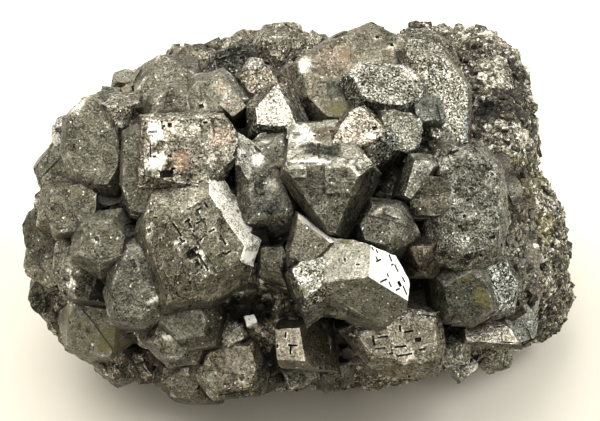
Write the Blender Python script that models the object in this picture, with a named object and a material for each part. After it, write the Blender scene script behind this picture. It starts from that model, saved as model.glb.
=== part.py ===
"""Galena specimen: cubic crystals grown together over a granular matrix.

Metres, +Z up. The origin is the middle of the flat base that the specimen rests on.
The show side is the one that faces -Y and up. The crystals on it are placed in the show
frame: across to the right, up along the show side, and out from it, all in millimetres.
"""

import math
import random

import bmesh
import bpy
from mathutils import Matrix, Vector, noise

MM = 0.001

# Driving dimensions of the show frame
SHOW_RISE = math.radians(40)
SHOW_CENTRE = Vector((0, 0, 30))
ACROSS = Vector((1, 0, 0))
UP = Vector((0, math.sin(SHOW_RISE), math.cos(SHOW_RISE)))
OUT = Vector((0, -math.cos(SHOW_RISE), math.sin(SHOW_RISE)))
SHOW_FRAME = Matrix((ACROSS, UP, OUT)).transposed()

# Shift that brings the middle of the whole specimen over the origin
BOX_SHIFT = Vector((-0.11, 3.52, 0))

# Corners closer than this are one corner
MERGE = 0.01
# Most that a sharp corner is pushed out when a shape is grown, as a share of the growth
SHELL_LIMIT = 1.5
# Neighbouring faces that turn by less than this are one flat face
FLAT_ANGLE = math.radians(0.3)
# Gap left between the crystals and the matrix, in millimetres
SEAM = 0.35
# Size of the swellings on a rounded mass
SWELL_SIZE = 10.0

# Rounded masses: half widths along X, Y and Z, middle, squareness, ball subdivisions, and
# how far the swellings push the surface in and out
GALENA_MASSES = (
    ((47, 38, 29), (-5, -2, 33), 2.3, 3, 1.4),
    ((22, 18, 20), (24, -14, 40), 2.4, 2, 1.4),
    ((17, 17, 19), (33, -18, 30), 2.4, 2, 1.4),
)
MATRIX_BASE = ((51, 36, 20), (5, 1, 14), 2.3, 3, 3.0)
MATRIX_MASSES = (
    ((18, 28, 28), (33.5, 9, 35), 2.5, 3, 3.4),
    ((16, 24, 22), (42.5, 0, 24), 2.4, 3, 3.4),
    ((13, 12, 12), (-42, -18, 17), 2.4, 2, 2.0),
)

# Crystals of the show side. A crystal is a cube of the given half width whose corners are
# cut by the eight faces of an octahedron: cut 3 leaves the cube whole, and 1 an octahedron.
# A "face" crystal has a cube face at its place, and a "corner" crystal an octahedron face.
# name, across, up, out, kind, turn right, turn up, spin, half width, cut
SHOW_CRYSTALS = (
    ("etched_block", -15, -4.5, 48, "face", 15, 16, 30, 9.5, 2.5),
    ("patchwork_block", -22, 10, 44, "face", 20, 5, 5, 9.5, 2.4),
    ("centre_crystal", 5, 5, 50, "corner", 0, -5, 4, 9.8, 2.0),
    ("bright_cube", 14, -12.5, 51, "corner", 12, -8, 60, 6.5, 2.95),
    ("silver_cap", 11.5, 16.5, 42, "corner", 5, 35, 0, 7.5, 1.6),
    ("pale_plate", 18.5, 26, 30, "face", 5, 45, -8, 7, 2.4),
    ("back_peak", 15.5, 33, 14, "face", 10, 10, 45, 5.8, 2.5),
    ("pink_block", 5.5, 26.5, 29, "face", 5, 15, -5, 7, 2.4),
    ("bright_wedge", -5, 20, 38, "corner", 0, 28, 55, 5.5, 2.0),
    ("dull_dome", -6, 11.5, 43.5, "corner", 0, 20, 0, 4.5, 1.8),
    ("left_of_centre", -7.5, 4.5, 48, "corner", -5, 5, 50, 8, 2.3),
    ("brown_chip", -5.5, -10, 45, "face", -10, 20, 20, 3.5, 2.5),
    ("right_knob", 16.5, -2, 46, "face", -10, 25, -20, 4.3, 2.5),
    ("pale_blade", 24, 7, 43, "face", 0, 5, -26, 3.2, 2.6),
    ("hollow_block", 20.5, 16.5, 39, "face", 15, 10, -10, 4.3, 2.4),
    ("blue_shoulder", 25, 19.5, 35, "face", 25, 20, 10, 5, 2.4),
    ("dark_tooth", 23.5, -8.5, 44, "corner", 0, 0, 0, 4, 2.2),
    ("shield", 1.5, -6, 50, "face", -15, 10, -38, 4, 2.6),
    ("silver_facet", 2, -12.5, 49, "face", -10, 22, 8, 4.6, 2.3),
    ("smooth_foot", 5, -19.5, 43, "face", 0, -20, 0, 5, 2.4),
    ("pitted_block", 19.5, -25.5, 37.5, "face", 0, -12, 10, 8.7, 2.5),
    ("square_pit_block", -2.5, -27, 38, "face", -38, 0, 0, 3.8, 3.0),
    ("grey_front", -24, -22, 38, "face", -15, -5, 10, 5.5, 2.4),
    ("streaked_front", -27, -27, 33, "face", -20, 10, 25, 5, 2.5),
    ("small_brown", -13.5, -23, 37, "corner", 0, 0, 20, 3, 2.0),
    ("bottom_left", -13.5, -31.5, 30, "face", -5, -10, -8, 7.5, 2.3),
    ("bottom_corner", -25, -33.5, 18, "corner", -20, -15, 0, 6, 2.0),
    ("bottom_middle", -0.5, -32, 27, "corner", 0, -10, 30, 5, 2.0),
    ("bottom_chip", 6.7, -31.5, 24, "face", 10, -15, 20, 4.5, 2.2),
    ("lower_left_chip", -33, -30, 16, "corner", -15, -10, 25, 4.5, 1.9),
    ("right_pillar", 32.5, 23, 33, "face", 35, 10, -15, 7.3, 2.2),
    ("right_block", 34.5, 2, 41, "face", 20, 5, 10, 8.5, 2.3),
    ("striped_side", 26, 3.5, 43, "face", 0, 10, 0, 4, 2.5),
    ("olive_block", 33, -13.5, 40, "face", 10, -5, -20, 6.5, 2.3),
    ("blue_grey_block", 40, -15.5, 34, "face", 25, 0, 20, 5, 2.3),
    ("beige_plate", 39, -22.5, 29, "face", 10, 60, 0, 4.6, 2.5),
    ("blue_shell", 45, -22, 24, "face", 30, 10, 15, 4, 2.4),
    ("grey_block", -18, 22.5, 32, "face", -10, 20, 20, 5.5, 2.5),
    ("dark_slab", -12.5, 30, 24, "face", -5, -10, 5, 5, 2.6),
    ("bright_button", -9, 29.5, 28, "corner", 0, 0, 0, 1.8, 1.5),
    ("pale_step", -10.5, 24.5, 31, "face", 5, 35, 30, 4, 2.5),
    ("glassy_chip", -13.5, 20.5, 36, "face", 0, 20, 40, 2, 2.8),
    ("top_lump", -20, 33.5, 8, "corner", 0, 10, 0, 4.2, 1.8),
    ("top_block", -14, 33.5, 8, "face", 0, 10, 20, 4.5, 2.2),
    ("drusy_top", -3, 34, 14, "corner", 0, 10, 0, 6.8, 1.6),
    ("drusy_side", 6, 33, 10, "corner", 10, 15, 40, 5.5, 1.8),
    ("left_big", -43, 16, 31, "face", -25, 10, 15, 9, 1.9),
    ("left_point", -49.5, 9.5, 20, "face", -15, 5, 45, 5, 2.4),
    ("left_small", -53, 2.5, 18, "face", -20, 5, 20, 3, 2.4),
    ("left_pale", -45.5, 1, 33, "face", -25, 25, 5, 5, 2.5),
    ("left_edge_upper", -55, -4, 17, "corner", -30, 0, 0, 5, 1.6),
    ("left_edge_lower", -55.5, -10, 15, "corner", -30, -10, 20, 5, 1.7),
    ("left_edge_foot", -54, -16, 12, "corner", -25, -15, 10, 4.5, 1.8),
    ("left_bright", -48.5, -10, 30, "face", -40, 0, -10, 6, 2.4),
    ("round_hexagon", -41, -5.5, 38, "corner", -10, 10, 10, 6.5, 1.5),
    ("left_grey", -32.5, -13.5, 39, "face", -10, 0, 25, 7, 2.1),
    ("top_left_round", -27.5, 27, 24, "face", -5, 15, 15, 7.5, 1.8),
    ("sparkling_lump", -35, 20, 31, "corner", -10, 10, 0, 4.5, 1.8),
)

# Smaller crystals grown in step with a big one, which give its faces their ledges.
# name of the big one, shift along its three axes as shares of its half width, size share
LEDGES = (
    ("etched_block", (-0.35, -0.25, 0.16), 0.90),
    ("etched_block", (0.45, 0.30, 0.22), 0.62),
    ("patchwork_block", (0.30, 0.42, 0.20), 0.66),
    ("patchwork_block", (-0.40, -0.30, 0.14), 0.74),
    ("centre_crystal", (0.42, -0.30, 0.10), 0.68),
    ("centre_crystal", (-0.25, 0.35, 0.24), 0.62),
    ("bright_cube", (0.22, -0.20, 0.12), 0.86),
    ("pitted_block", (-0.32, 0.34, 0.14), 0.78),
    ("pitted_block", (0.36, -0.30, 0.10), 0.70),
    ("pale_plate", (0.45, -0.20, 0.10), 0.72),
    ("right_block", (-0.40, 0.34, 0.12), 0.76),
    ("right_pillar", (0.20, -0.42, 0.14), 0.74),
    ("olive_block", (-0.30, -0.34, 0.12), 0.74),
    ("bottom_left", (0.34, 0.30, 0.12), 0.76),
    ("left_big", (0.32, -0.38, 0.12), 0.78),
    ("left_grey", (-0.30, 0.32, 0.14), 0.76),
    ("pink_block", (-0.32, -0.28, 0.12), 0.78),
    ("grey_block", (0.30, 0.32, 0.14), 0.74),
    ("round_hexagon", (0.26, 0.24, 0.20), 0.72),
    ("left_of_centre", (0.30, 0.22, 0.26), 0.66),
)

# Square pits sunk in a crystal's facing face, in millimetres on that face from its middle.
# name, right, up, width, height, depth, spin on the face
PITS = (
    ("etched_block", -5.0, 3.2, 2.4, 1.5, 1.6, 0),
    ("etched_block", -1.6, 4.6, 1.6, 1.2, 1.4, 0),
    ("etched_block", 2.2, 1.8, 1.3, 2.4, 1.5, 0),
    ("etched_block", -3.6, -2.6, 3.0, 2.2, 1.9, 0),
    ("etched_block", 3.4, -3.6, 1.8, 1.3, 1.4, 0),
    ("patchwork_block", -5.6, 1.0, 1.4, 2.8, 1.6, 0),
    ("patchwork_block", -2.4, -4.2, 3.0, 1.6, 1.8, 0),
    ("patchwork_block", 1.2, 3.2, 2.2, 1.4, 1.4, 0),
    ("pitted_block", -2.6, 1.6, 2.2, 1.1, 1.6, 0),
    ("pitted_block", 2.2, 2.6, 1.6, 1.0, 1.4, 0),
    ("pitted_block", 0.4, -2.2, 2.6, 1.2, 1.7, 0),
    ("square_pit_block", 0.9, -0.2, 2.0, 2.4, 1.8, 0),
)

# Crystals round the back and the far ends: height, count, first and last bearing in degrees
BACK_RINGS = (
    (30, 9, 62, 196),
    (44, 7, 66, 190),
    (54, 4, 75, 160),
)
BACK_SEED = 11
BACK_HALF_WIDTHS = (5.0, 7.6)
BACK_CUTS = (1.7, 2.6)

# Lumps on the bare matrix
LUMP_SEED = 5
LUMP_COUNT = 300
LUMP_RADII = (2.4, 6.0)
# How far the middle of a lump stays from the galena
LUMP_CLEARANCE = 2.0
# Turns in which the matrix masses take their lumps, counted from the base
LUMP_TURNS = (0, 1, 2, 0, 1, 2, 1, 2, 0, 3)


def clear_scene():
    """Remove every object, so that only the specimen is in the file."""
    for thing in list(bpy.data.objects):
        bpy.data.objects.remove(thing, do_unlink=True)


def new_collection(name):
    """Return a new collection, linked to the scene."""
    collection = bpy.data.collections.new(name)
    bpy.context.scene.collection.children.link(collection)
    return collection


def object_from(shape, name, collection):
    """Turn a bmesh into an object, still in millimetres."""
    bmesh.ops.triangulate(shape, faces=shape.faces)
    bmesh.ops.recalc_face_normals(shape, faces=shape.faces)
    mesh = bpy.data.meshes.new(name)
    shape.to_mesh(mesh)
    shape.free()
    thing = bpy.data.objects.new(name, mesh)
    collection.objects.link(thing)
    return thing


def mass_reach(direction, half_widths, squareness):
    """Return how far a rounded mass reaches from its middle along a direction."""
    total = sum(
        abs(part / half) ** squareness for part, half in zip(direction, half_widths)
    )
    return total ** (-1 / squareness)


def inside_mass(point, mass, margin):
    """Say whether a point lies in a rounded mass that is grown by a margin."""
    half_widths, middle, squareness = mass[:3]
    away = point - Vector(middle)
    return away.length < mass_reach(away.normalized(), half_widths, squareness) + margin


def rounded_mass(mass):
    """Build a lumpy, squarish ball."""
    half_widths, middle, squareness, subdivisions, swelling = mass
    shape = bmesh.new()
    bmesh.ops.create_icosphere(shape, subdivisions=subdivisions, radius=1)
    for vert in shape.verts:
        direction = vert.co.normalized()
        place = direction * mass_reach(direction, half_widths, squareness)
        place += Vector(middle)
        vert.co = place + direction * swelling * noise.noise(place / SWELL_SIZE)
    return shape


def octahedron_normals():
    """Return the eight directions in which an octahedron's faces look."""
    signs = (1, -1)
    return [Vector((x, y, z)).normalized() for x in signs for y in signs for z in signs]


def crystal_block(half_width, cut):
    """Build a cube whose corners are cut off by the faces of an octahedron."""
    shape = bmesh.new()
    bmesh.ops.create_cube(shape, size=2 * half_width)
    if cut >= 3:
        return shape
    reach = cut * half_width / math.sqrt(3)
    for normal in octahedron_normals():
        everything = shape.verts[:] + shape.edges[:] + shape.faces[:]
        bmesh.ops.bisect_plane(
            shape, geom=everything, plane_co=normal * reach, plane_no=normal, clear_outer=True
        )
        open_edges = [edge for edge in shape.edges if edge.is_boundary]
        bmesh.ops.contextual_create(shape, geom=open_edges)
    bmesh.ops.remove_doubles(shape, verts=shape.verts, dist=MERGE)
    return shape


def corner_to_front():
    """Return the turn that brings a cube's corner to the front and its Z axis upright."""
    turn = Vector((1, 1, 1)).rotation_difference(Vector((0, 0, 1))).to_matrix()
    lean = turn @ Vector((0, 0, 1))
    upright = Matrix.Rotation(math.pi / 2 - math.atan2(lean.y, lean.x), 3, "Z")
    return upright @ turn


def facing_turn(kind, right, up, spin):
    """Return a crystal's turn in the show frame, from angles in degrees."""
    turn = Matrix.Rotation(math.radians(right), 3, "Y")
    turn = turn @ Matrix.Rotation(math.radians(-up), 3, "X")
    turn = turn @ Matrix.Rotation(math.radians(spin), 3, "Z")
    return turn @ corner_to_front() if kind == "corner" else turn


def show_place(across, up, out):
    """Return the point of the show frame in the specimen's own frame."""
    return SHOW_CENTRE + SHOW_FRAME @ Vector((across, up, out))


def crystal_matrix(row):
    """Return the matrix that puts a crystal of the show side in its place."""
    _, across, up, out, kind, right, rise, spin, half_width, cut = row
    turn = facing_turn(kind, right, rise, spin)
    front = turn @ (Vector((1, 1, 1)).normalized() if kind == "corner" else Vector((0, 0, 1)))
    depth = cut * half_width / math.sqrt(3) if kind == "corner" else half_width
    middle = show_place(across, up, out) - SHOW_FRAME @ front * depth
    return Matrix.Translation(middle) @ (SHOW_FRAME @ turn).to_4x4()


def show_crystals(collection):
    """Build the crystals of the show side and the ledges grown in step with them."""
    matrices = {}
    sizes = {}
    for row in SHOW_CRYSTALS:
        name, half_width, cut = row[0], row[-2], row[-1]
        matrices[name] = crystal_matrix(row)
        sizes[name] = (half_width, cut)
        shape = crystal_block(half_width, cut)
        shape.transform(matrices[name])
        object_from(shape, name, collection)
    for number, (name, shift, share) in enumerate(LEDGES):
        half_width, cut = sizes[name]
        shape = crystal_block(half_width * share, cut)
        bmesh.ops.translate(shape, vec=Vector(shift) * half_width, verts=shape.verts)
        shape.transform(matrices[name])
        object_from(shape, f"ledge_{number}", collection)
    return matrices, sizes


def back_crystals(collection):
    """Build crystals round the back, in rings on the biggest galena mass."""
    dice = random.Random(BACK_SEED)
    half_widths, middle, squareness = GALENA_MASSES[0][:3]
    for ring, (height, count, first, last) in enumerate(BACK_RINGS):
        for step in range(count):
            bearing = math.radians(first + (last - first) * step / (count - 1))
            level = (height - middle[2]) / half_widths[2]
            round_share = (1 - abs(level) ** squareness) ** (1 / squareness)
            direction = Vector((math.cos(bearing), math.sin(bearing), 0))
            reach = mass_reach(direction, half_widths, squareness) * round_share
            place = Vector(middle) + direction * reach
            place.z = height
            half_width = dice.uniform(*BACK_HALF_WIDTHS)
            turn = Matrix.Rotation(dice.uniform(0, math.tau), 4, "Z")
            turn = turn @ Matrix.Rotation(dice.uniform(0, math.tau), 4, "X")
            shape = crystal_block(half_width, dice.uniform(*BACK_CUTS))
            shape.transform(Matrix.Translation(place) @ turn)
            object_from(shape, f"back_{ring}_{step}", collection)


def pit_cutters(collection, matrices, sizes):
    """Build the square blocks that sink pits in the facing faces."""
    for number, (name, right, up, width, height, depth, spin) in enumerate(PITS):
        shape = bmesh.new()
        bmesh.ops.create_cube(shape, size=1)
        bmesh.ops.scale(shape, vec=(width, height, 2 * depth), verts=shape.verts)
        shape.transform(Matrix.Rotation(math.radians(spin), 4, "Z"))
        lift = 1.14 if any(name == ledge[0] for ledge in LEDGES) else 1
        surface = sizes[name][0] * lift
        bmesh.ops.translate(shape, vec=(right, up, surface), verts=shape.verts)
        shape.transform(matrices[name])
        object_from(shape, f"pit_{number}", collection)


def matrix_lumps(collection):
    """Build the lumps that stand out of the bare matrix."""
    dice = random.Random(LUMP_SEED)
    masses = (MATRIX_BASE,) + MATRIX_MASSES
    for number in range(LUMP_COUNT):
        mass = masses[LUMP_TURNS[number % len(LUMP_TURNS)]]
        half_widths, middle, squareness = mass[:3]
        direction = Vector([dice.gauss(0, 1) for _ in range(3)]).normalized()
        radius = dice.uniform(*LUMP_RADII)
        sink = dice.uniform(0.35, 0.6) * radius
        reach = mass_reach(direction, half_widths, squareness) - sink
        place = Vector(middle) + direction * reach
        others = [other for other in masses if other is not mass]
        hidden = any(inside_mass(place, other, 0) for other in others)
        hidden = hidden or any(inside_mass(place, other, LUMP_CLEARANCE) for other in GALENA_MASSES)
        if hidden or place.z < radius:
            continue
        shape = bmesh.new()
        bmesh.ops.create_icosphere(shape, subdivisions=1, radius=radius)
        for vert in shape.verts:
            vert.co *= 1 + 0.3 * noise.noise(vert.co * 0.9 + place)
        bmesh.ops.translate(shape, vec=place, verts=shape.verts)
        object_from(shape, f"lump_{number}", collection)


def tidy(mesh):
    """Merge corners that a cut has left side by side, and flat neighbours into one face."""
    shape = bmesh.new()
    shape.from_mesh(mesh)
    bmesh.ops.dissolve_degenerate(shape, dist=MERGE, edges=shape.edges)
    bmesh.ops.dissolve_limit(
        shape, angle_limit=FLAT_ANGLE, use_dissolve_boundaries=False,
        verts=shape.verts, edges=shape.edges,
    )
    bmesh.ops.triangulate(shape, faces=shape.faces)
    shape.to_mesh(mesh)
    shape.free()


def combine(thing, operation, others, folded=False):
    """Apply one Boolean after another to an object, with each of the other objects.

    Set folded where the other object may cut through itself.
    """
    for other in others:
        step = thing.modifiers.new(operation.lower(), "BOOLEAN")
        step.operation = operation
        step.solver = "EXACT"
        step.use_self = folded
        step.object = other
        evaluated = thing.evaluated_get(bpy.context.evaluated_depsgraph_get())
        mesh = bpy.data.meshes.new_from_object(evaluated)
        thing.modifiers.clear()
        thing.data = mesh
        tidy(mesh)


def rest_on_floor(thing):
    """Cut an object flat where it would reach below the floor."""
    shape = bmesh.new()
    shape.from_mesh(thing.data)
    everything = shape.verts[:] + shape.edges[:] + shape.faces[:]
    bmesh.ops.bisect_plane(
        shape, geom=everything, plane_co=(0, 0, 0), plane_no=(0, 0, -1), clear_outer=True
    )
    open_edges = [edge for edge in shape.edges if edge.is_boundary]
    bmesh.ops.contextual_create(shape, geom=open_edges)
    shape.to_mesh(thing.data)
    shape.free()
    tidy(thing.data)


def body_of(start):
    """Return the faces that hang together with one face."""
    found = {start}
    waiting = [start]
    while waiting:
        face = waiting.pop()
        for edge in face.edges:
            for neighbour in edge.link_faces:
                if neighbour not in found:
                    found.add(neighbour)
                    waiting.append(neighbour)
    return found


def keep_largest_body(thing):
    """Clear away the chips that a cut has parted from the main body."""
    shape = bmesh.new()
    shape.from_mesh(thing.data)
    left = set(shape.faces)
    bodies = []
    while left:
        body = body_of(next(iter(left)))
        bodies.append(body)
        left -= body
    bodies.sort(key=lambda body: sum(face.calc_area() for face in body))
    chips = [face for body in bodies[:-1] for face in body]
    bmesh.ops.delete(shape, geom=chips, context="FACES")
    shape.to_mesh(thing.data)
    shape.free()


def grown(thing, amount, collection):
    """Return a copy of an object, every corner pushed outwards by an amount."""
    shape = bmesh.new()
    shape.from_mesh(thing.data)
    shape.normal_update()
    moves = [(vert, vert.normal * min(vert.calc_shell_factor(), SHELL_LIMIT)) for vert in shape.verts]
    for vert, move in moves:
        vert.co += move * amount
    mesh = bpy.data.meshes.new(thing.name + "_room")
    shape.to_mesh(mesh)
    shape.free()
    copy = bpy.data.objects.new(mesh.name, mesh)
    collection.objects.link(copy)
    return copy


def finish(name, colour, roughness, metallic):
    """Return a material with one colour."""
    material = bpy.data.materials.new(name)
    material.use_nodes = True
    shader = material.node_tree.nodes["Principled BSDF"]
    shader.inputs["Base Color"].default_value = (*colour, 1)
    shader.inputs["Roughness"].default_value = roughness
    shader.inputs["Metallic"].default_value = metallic
    material.diffuse_color = (*colour, 1)
    return material


def to_metres():
    """Bring every shape to metres and over the origin, once the Booleans are done."""
    for thing in bpy.data.objects:
        thing.data.transform(Matrix.Scale(MM, 4) @ Matrix.Translation(BOX_SHIFT))


def hide_cutters(collection):
    """Keep the helper shapes out of renders and draw them as wires."""
    for helper in collection.objects:
        helper.hide_render = True
        helper.display_type = "WIRE"


def build():
    """Model the specimen's two pieces."""
    clear_scene()
    specimen = new_collection("galena_specimen")
    helpers = new_collection("cutters")
    crystals = new_collection("crystal_shapes")
    pits = new_collection("pit_shapes")
    lumps = new_collection("lump_shapes")

    base = object_from(rounded_mass(MATRIX_BASE), "granular_matrix", specimen)
    for number, mass in enumerate(MATRIX_MASSES):
        object_from(rounded_mass(mass), f"matrix_mass_{number}", lumps)
    matrix_lumps(lumps)
    combine(base, "UNION", lumps.objects)
    rest_on_floor(base)
    keep_largest_body(base)

    galena = object_from(rounded_mass(GALENA_MASSES[0]), "galena_crystals", specimen)
    for number, mass in enumerate(GALENA_MASSES[1:]):
        object_from(rounded_mass(mass), f"galena_mass_{number}", crystals)
    matrices, sizes = show_crystals(crystals)
    back_crystals(crystals)
    pit_cutters(pits, matrices, sizes)
    combine(galena, "UNION", crystals.objects)
    combine(galena, "DIFFERENCE", pits.objects)
    combine(galena, "DIFFERENCE", [grown(base, SEAM, helpers)], folded=True)
    keep_largest_body(galena)

    to_metres()
    galena.data.materials.clear()
    galena.data.materials.append(finish("lead_grey_galena", (0.17, 0.155, 0.135), 0.38, 0.85))
    base.data.materials.clear()
    base.data.materials.append(finish("granular_matrix", (0.11, 0.09, 0.065), 0.75, 0.1))
    for collection in (helpers, crystals, pits, lumps):
        hide_cutters(collection)
    return galena, base


if __name__ == "__main__":
    build()
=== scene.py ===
"""Dresses the galena specimen: etched cubic crystals on a rough granular matrix.

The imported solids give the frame. Each crystal is modelled again with its own terraces, pits and
worn edges, small crystals fill the hollows between, and the bare rock gets its lumps and grains.
Shapes are made in millimetres and brought to metres when a piece is finished. +Z is up.
"""

import logging
import math
import random
from collections.abc import Callable, Iterable
from dataclasses import dataclass, field
from enum import Enum

import bmesh
import bpy
from mathutils import Matrix, Vector, noise
from mathutils.bvhtree import BVHTree


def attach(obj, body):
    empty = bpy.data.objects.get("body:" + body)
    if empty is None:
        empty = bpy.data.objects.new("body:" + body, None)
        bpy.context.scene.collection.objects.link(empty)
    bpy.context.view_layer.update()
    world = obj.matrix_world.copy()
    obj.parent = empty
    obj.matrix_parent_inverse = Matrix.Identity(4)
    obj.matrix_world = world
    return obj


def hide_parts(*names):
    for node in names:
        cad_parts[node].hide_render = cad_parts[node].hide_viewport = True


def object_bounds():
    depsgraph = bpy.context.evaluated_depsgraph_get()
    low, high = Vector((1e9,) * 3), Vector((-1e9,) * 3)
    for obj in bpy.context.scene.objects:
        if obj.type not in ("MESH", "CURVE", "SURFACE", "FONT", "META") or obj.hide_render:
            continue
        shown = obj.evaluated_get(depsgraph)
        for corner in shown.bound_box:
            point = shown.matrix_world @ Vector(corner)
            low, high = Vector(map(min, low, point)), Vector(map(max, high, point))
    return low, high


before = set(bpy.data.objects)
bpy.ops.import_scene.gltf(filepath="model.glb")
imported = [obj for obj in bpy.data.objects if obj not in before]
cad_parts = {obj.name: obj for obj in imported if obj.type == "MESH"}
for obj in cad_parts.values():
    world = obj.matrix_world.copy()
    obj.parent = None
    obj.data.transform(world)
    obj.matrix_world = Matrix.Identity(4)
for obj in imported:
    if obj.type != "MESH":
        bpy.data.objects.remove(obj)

Shape = bmesh.types.BMesh
Tree = bpy.types.NodeTree
Socket = bpy.types.NodeSocket

LOG = logging.getLogger("galena")

CAD_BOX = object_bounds()

# The seed of the noise's offsets, which makes every run the same
NOISE_SEED = 1

MM = 0.001
ROOT = "root"
GALENA_NODE = "galena_crystals"
MATRIX_NODE = "granular_matrix"

# The show frame, in which the crystals of the show side are placed
SHOW_RISE = math.radians(40)
SHOW_CENTRE = Vector((0, 0, 30))
SHOW_RIGHT = Vector((1, 0, 0))
SHOW_UP = Vector((0, math.sin(SHOW_RISE), math.cos(SHOW_RISE)))
SHOW_OUT = Vector((0, -math.cos(SHOW_RISE), math.sin(SHOW_RISE)))
SHOW_FRAME = Matrix((SHOW_RIGHT, SHOW_UP, SHOW_OUT)).transposed()
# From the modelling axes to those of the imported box, and the middle that crystals grow away
# from, in millimetres
BOX_SHIFT = Vector((-0.11, 3.52, 0))
HEART = Vector((-2, 2, 26))
# Where the camera and the lights look, in metres
AIM = (SHOW_CENTRE + BOX_SHIFT) * MM

SIGNS = (1, -1)
CUBE_SIDES = [
    Vector(side) for side in
    ((1, 0, 0), (-1, 0, 0), (0, 1, 0), (0, -1, 0), (0, 0, 1), (0, 0, -1))
]
CORNER_SIDES = [Vector((x, y, z)).normalized() for x in SIGNS for y in SIGNS for z in SIGNS]

# The photograph's frame: its middle in pixels, and pixels for each millimetre at one
# millimetre's distance from the camera
VIEW_MIDDLE = (300, 213)
VIEW_DISTANCE = 600.0
VIEW_SCALE = 4.63 * VIEW_DISTANCE


class Facing(Enum):
    """Which of a crystal's faces lies at its place and looks out of the show side."""

    FACE = "cube face"
    CORNER = "octahedron face"


class Group(Enum):
    """The joined pieces that the crystals are gathered in."""

    LEFT = "left_crystals"
    MIDDLE = "middle_crystals"
    RIGHT = "right_crystals"
    TOP = "top_crystals"
    FRONT = "front_crystals"
    BACK = "back_crystals"


@dataclass(frozen=True)
class Relief:
    """How a crystal's faces are stepped and eaten into.

    Attributes:
        pitch: Width of the cells that a face is parted into, in millimetres.
        terraces: Number of raised plates grown on the faces.
        rise: Height of one terrace, in millimetres.
        pits: Number of pits for each square centimetre of a face.
        pit_size: Longest and shortest pit side, in millimetres.
        pit_depth: Depth of one level of a pit, in millimetres.
        swell: Height of the soft unevenness, in millimetres.
        wear: How far the edges are worn back, in millimetres.
        crust: Height of the ragged plates that cover the faces, in millimetres.
        grit: How strongly the finest etching shows, 1 being as strong as on the roughest.
        steps: How strongly the low cleavage steps show, likewise.
    """

    pitch: float
    terraces: int
    rise: float
    pits: float
    pit_size: tuple[float, float]
    pit_depth: float
    swell: float
    wear: float
    crust: float
    grit: float
    steps: float


class Surface(Enum):
    """The kinds of crystal surface on the specimen."""

    ETCHED = Relief(0.45, 4, 0.40, 4, (1.4, 0.45), 0.35, 0.10, 0.25, 0.10, 0.45, 0.5)
    PATCHWORK = Relief(0.45, 6, 0.45, 3, (1.2, 0.45), 0.40, 0.20, 0.40, 0.50, 0.60, 0.7)
    STEPPED = Relief(0.70, 8, 0.40, 1, (1.6, 0.5), 0.25, 0.18, 0.30, 0.12, 0.42, 0.4)
    SMOOTH = Relief(0.90, 5, 0.30, 0.4, (1.4, 0.6), 0.20, 0.20, 0.28, 0.00, 0.38, 0.25)
    FLAWED = Relief(0.40, 0, 0.20, 3, (0.9, 0.35), 0.30, 0.08, 0.20, 0.00, 0.25, 0.2)
    GRAINY = Relief(0.45, 2, 0.30, 1, (0.9, 0.35), 0.30, 0.14, 0.25, 0.10, 1.00, 0.4)
    ROUGH = Relief(0.65, 8, 0.48, 1.5, (1.4, 0.5), 0.35, 0.32, 0.50, 0.25, 0.60, 0.6)
    DRUSY = Relief(0.50, 5, 0.45, 1, (1.2, 0.5), 0.40, 0.30, 0.50, 0.50, 0.80, 0.5)


@dataclass(frozen=True)
class Seed:
    """One crystal of the show side.

    Attributes:
        name: The crystal's name.
        across, up, out: Where its front face lies in the show frame, in millimetres.
        facing: Which face is at the front.
        right, rise, spin: Its turn in the show frame, in degrees.
        half: Half width of its cube, in millimetres.
        cut: How far the corners are cut: 3 leaves the cube whole, 1 an octahedron.
        surface: The kind of surface that it has.
        shade: How bright its faces are, from 0 dull to 1 bright: partly its tarnish and partly
            painted light and shade.
        stain: How much brown and olive film it has, from 0 to 1.
        group: The piece that it is joined into.
    """

    name: str
    across: float
    up: float
    out: float
    facing: Facing
    right: float
    rise: float
    spin: float
    half: float
    cut: float
    surface: Surface
    shade: float
    stain: float
    group: Group


FACE, CORNER = Facing.FACE, Facing.CORNER
ETCHED, PATCHWORK, STEPPED, SMOOTH, FLAWED, GRAINY, ROUGH, DRUSY = Surface
LEFT, MIDDLE, RIGHT, TOP, FRONT, BACK = Group

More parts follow.
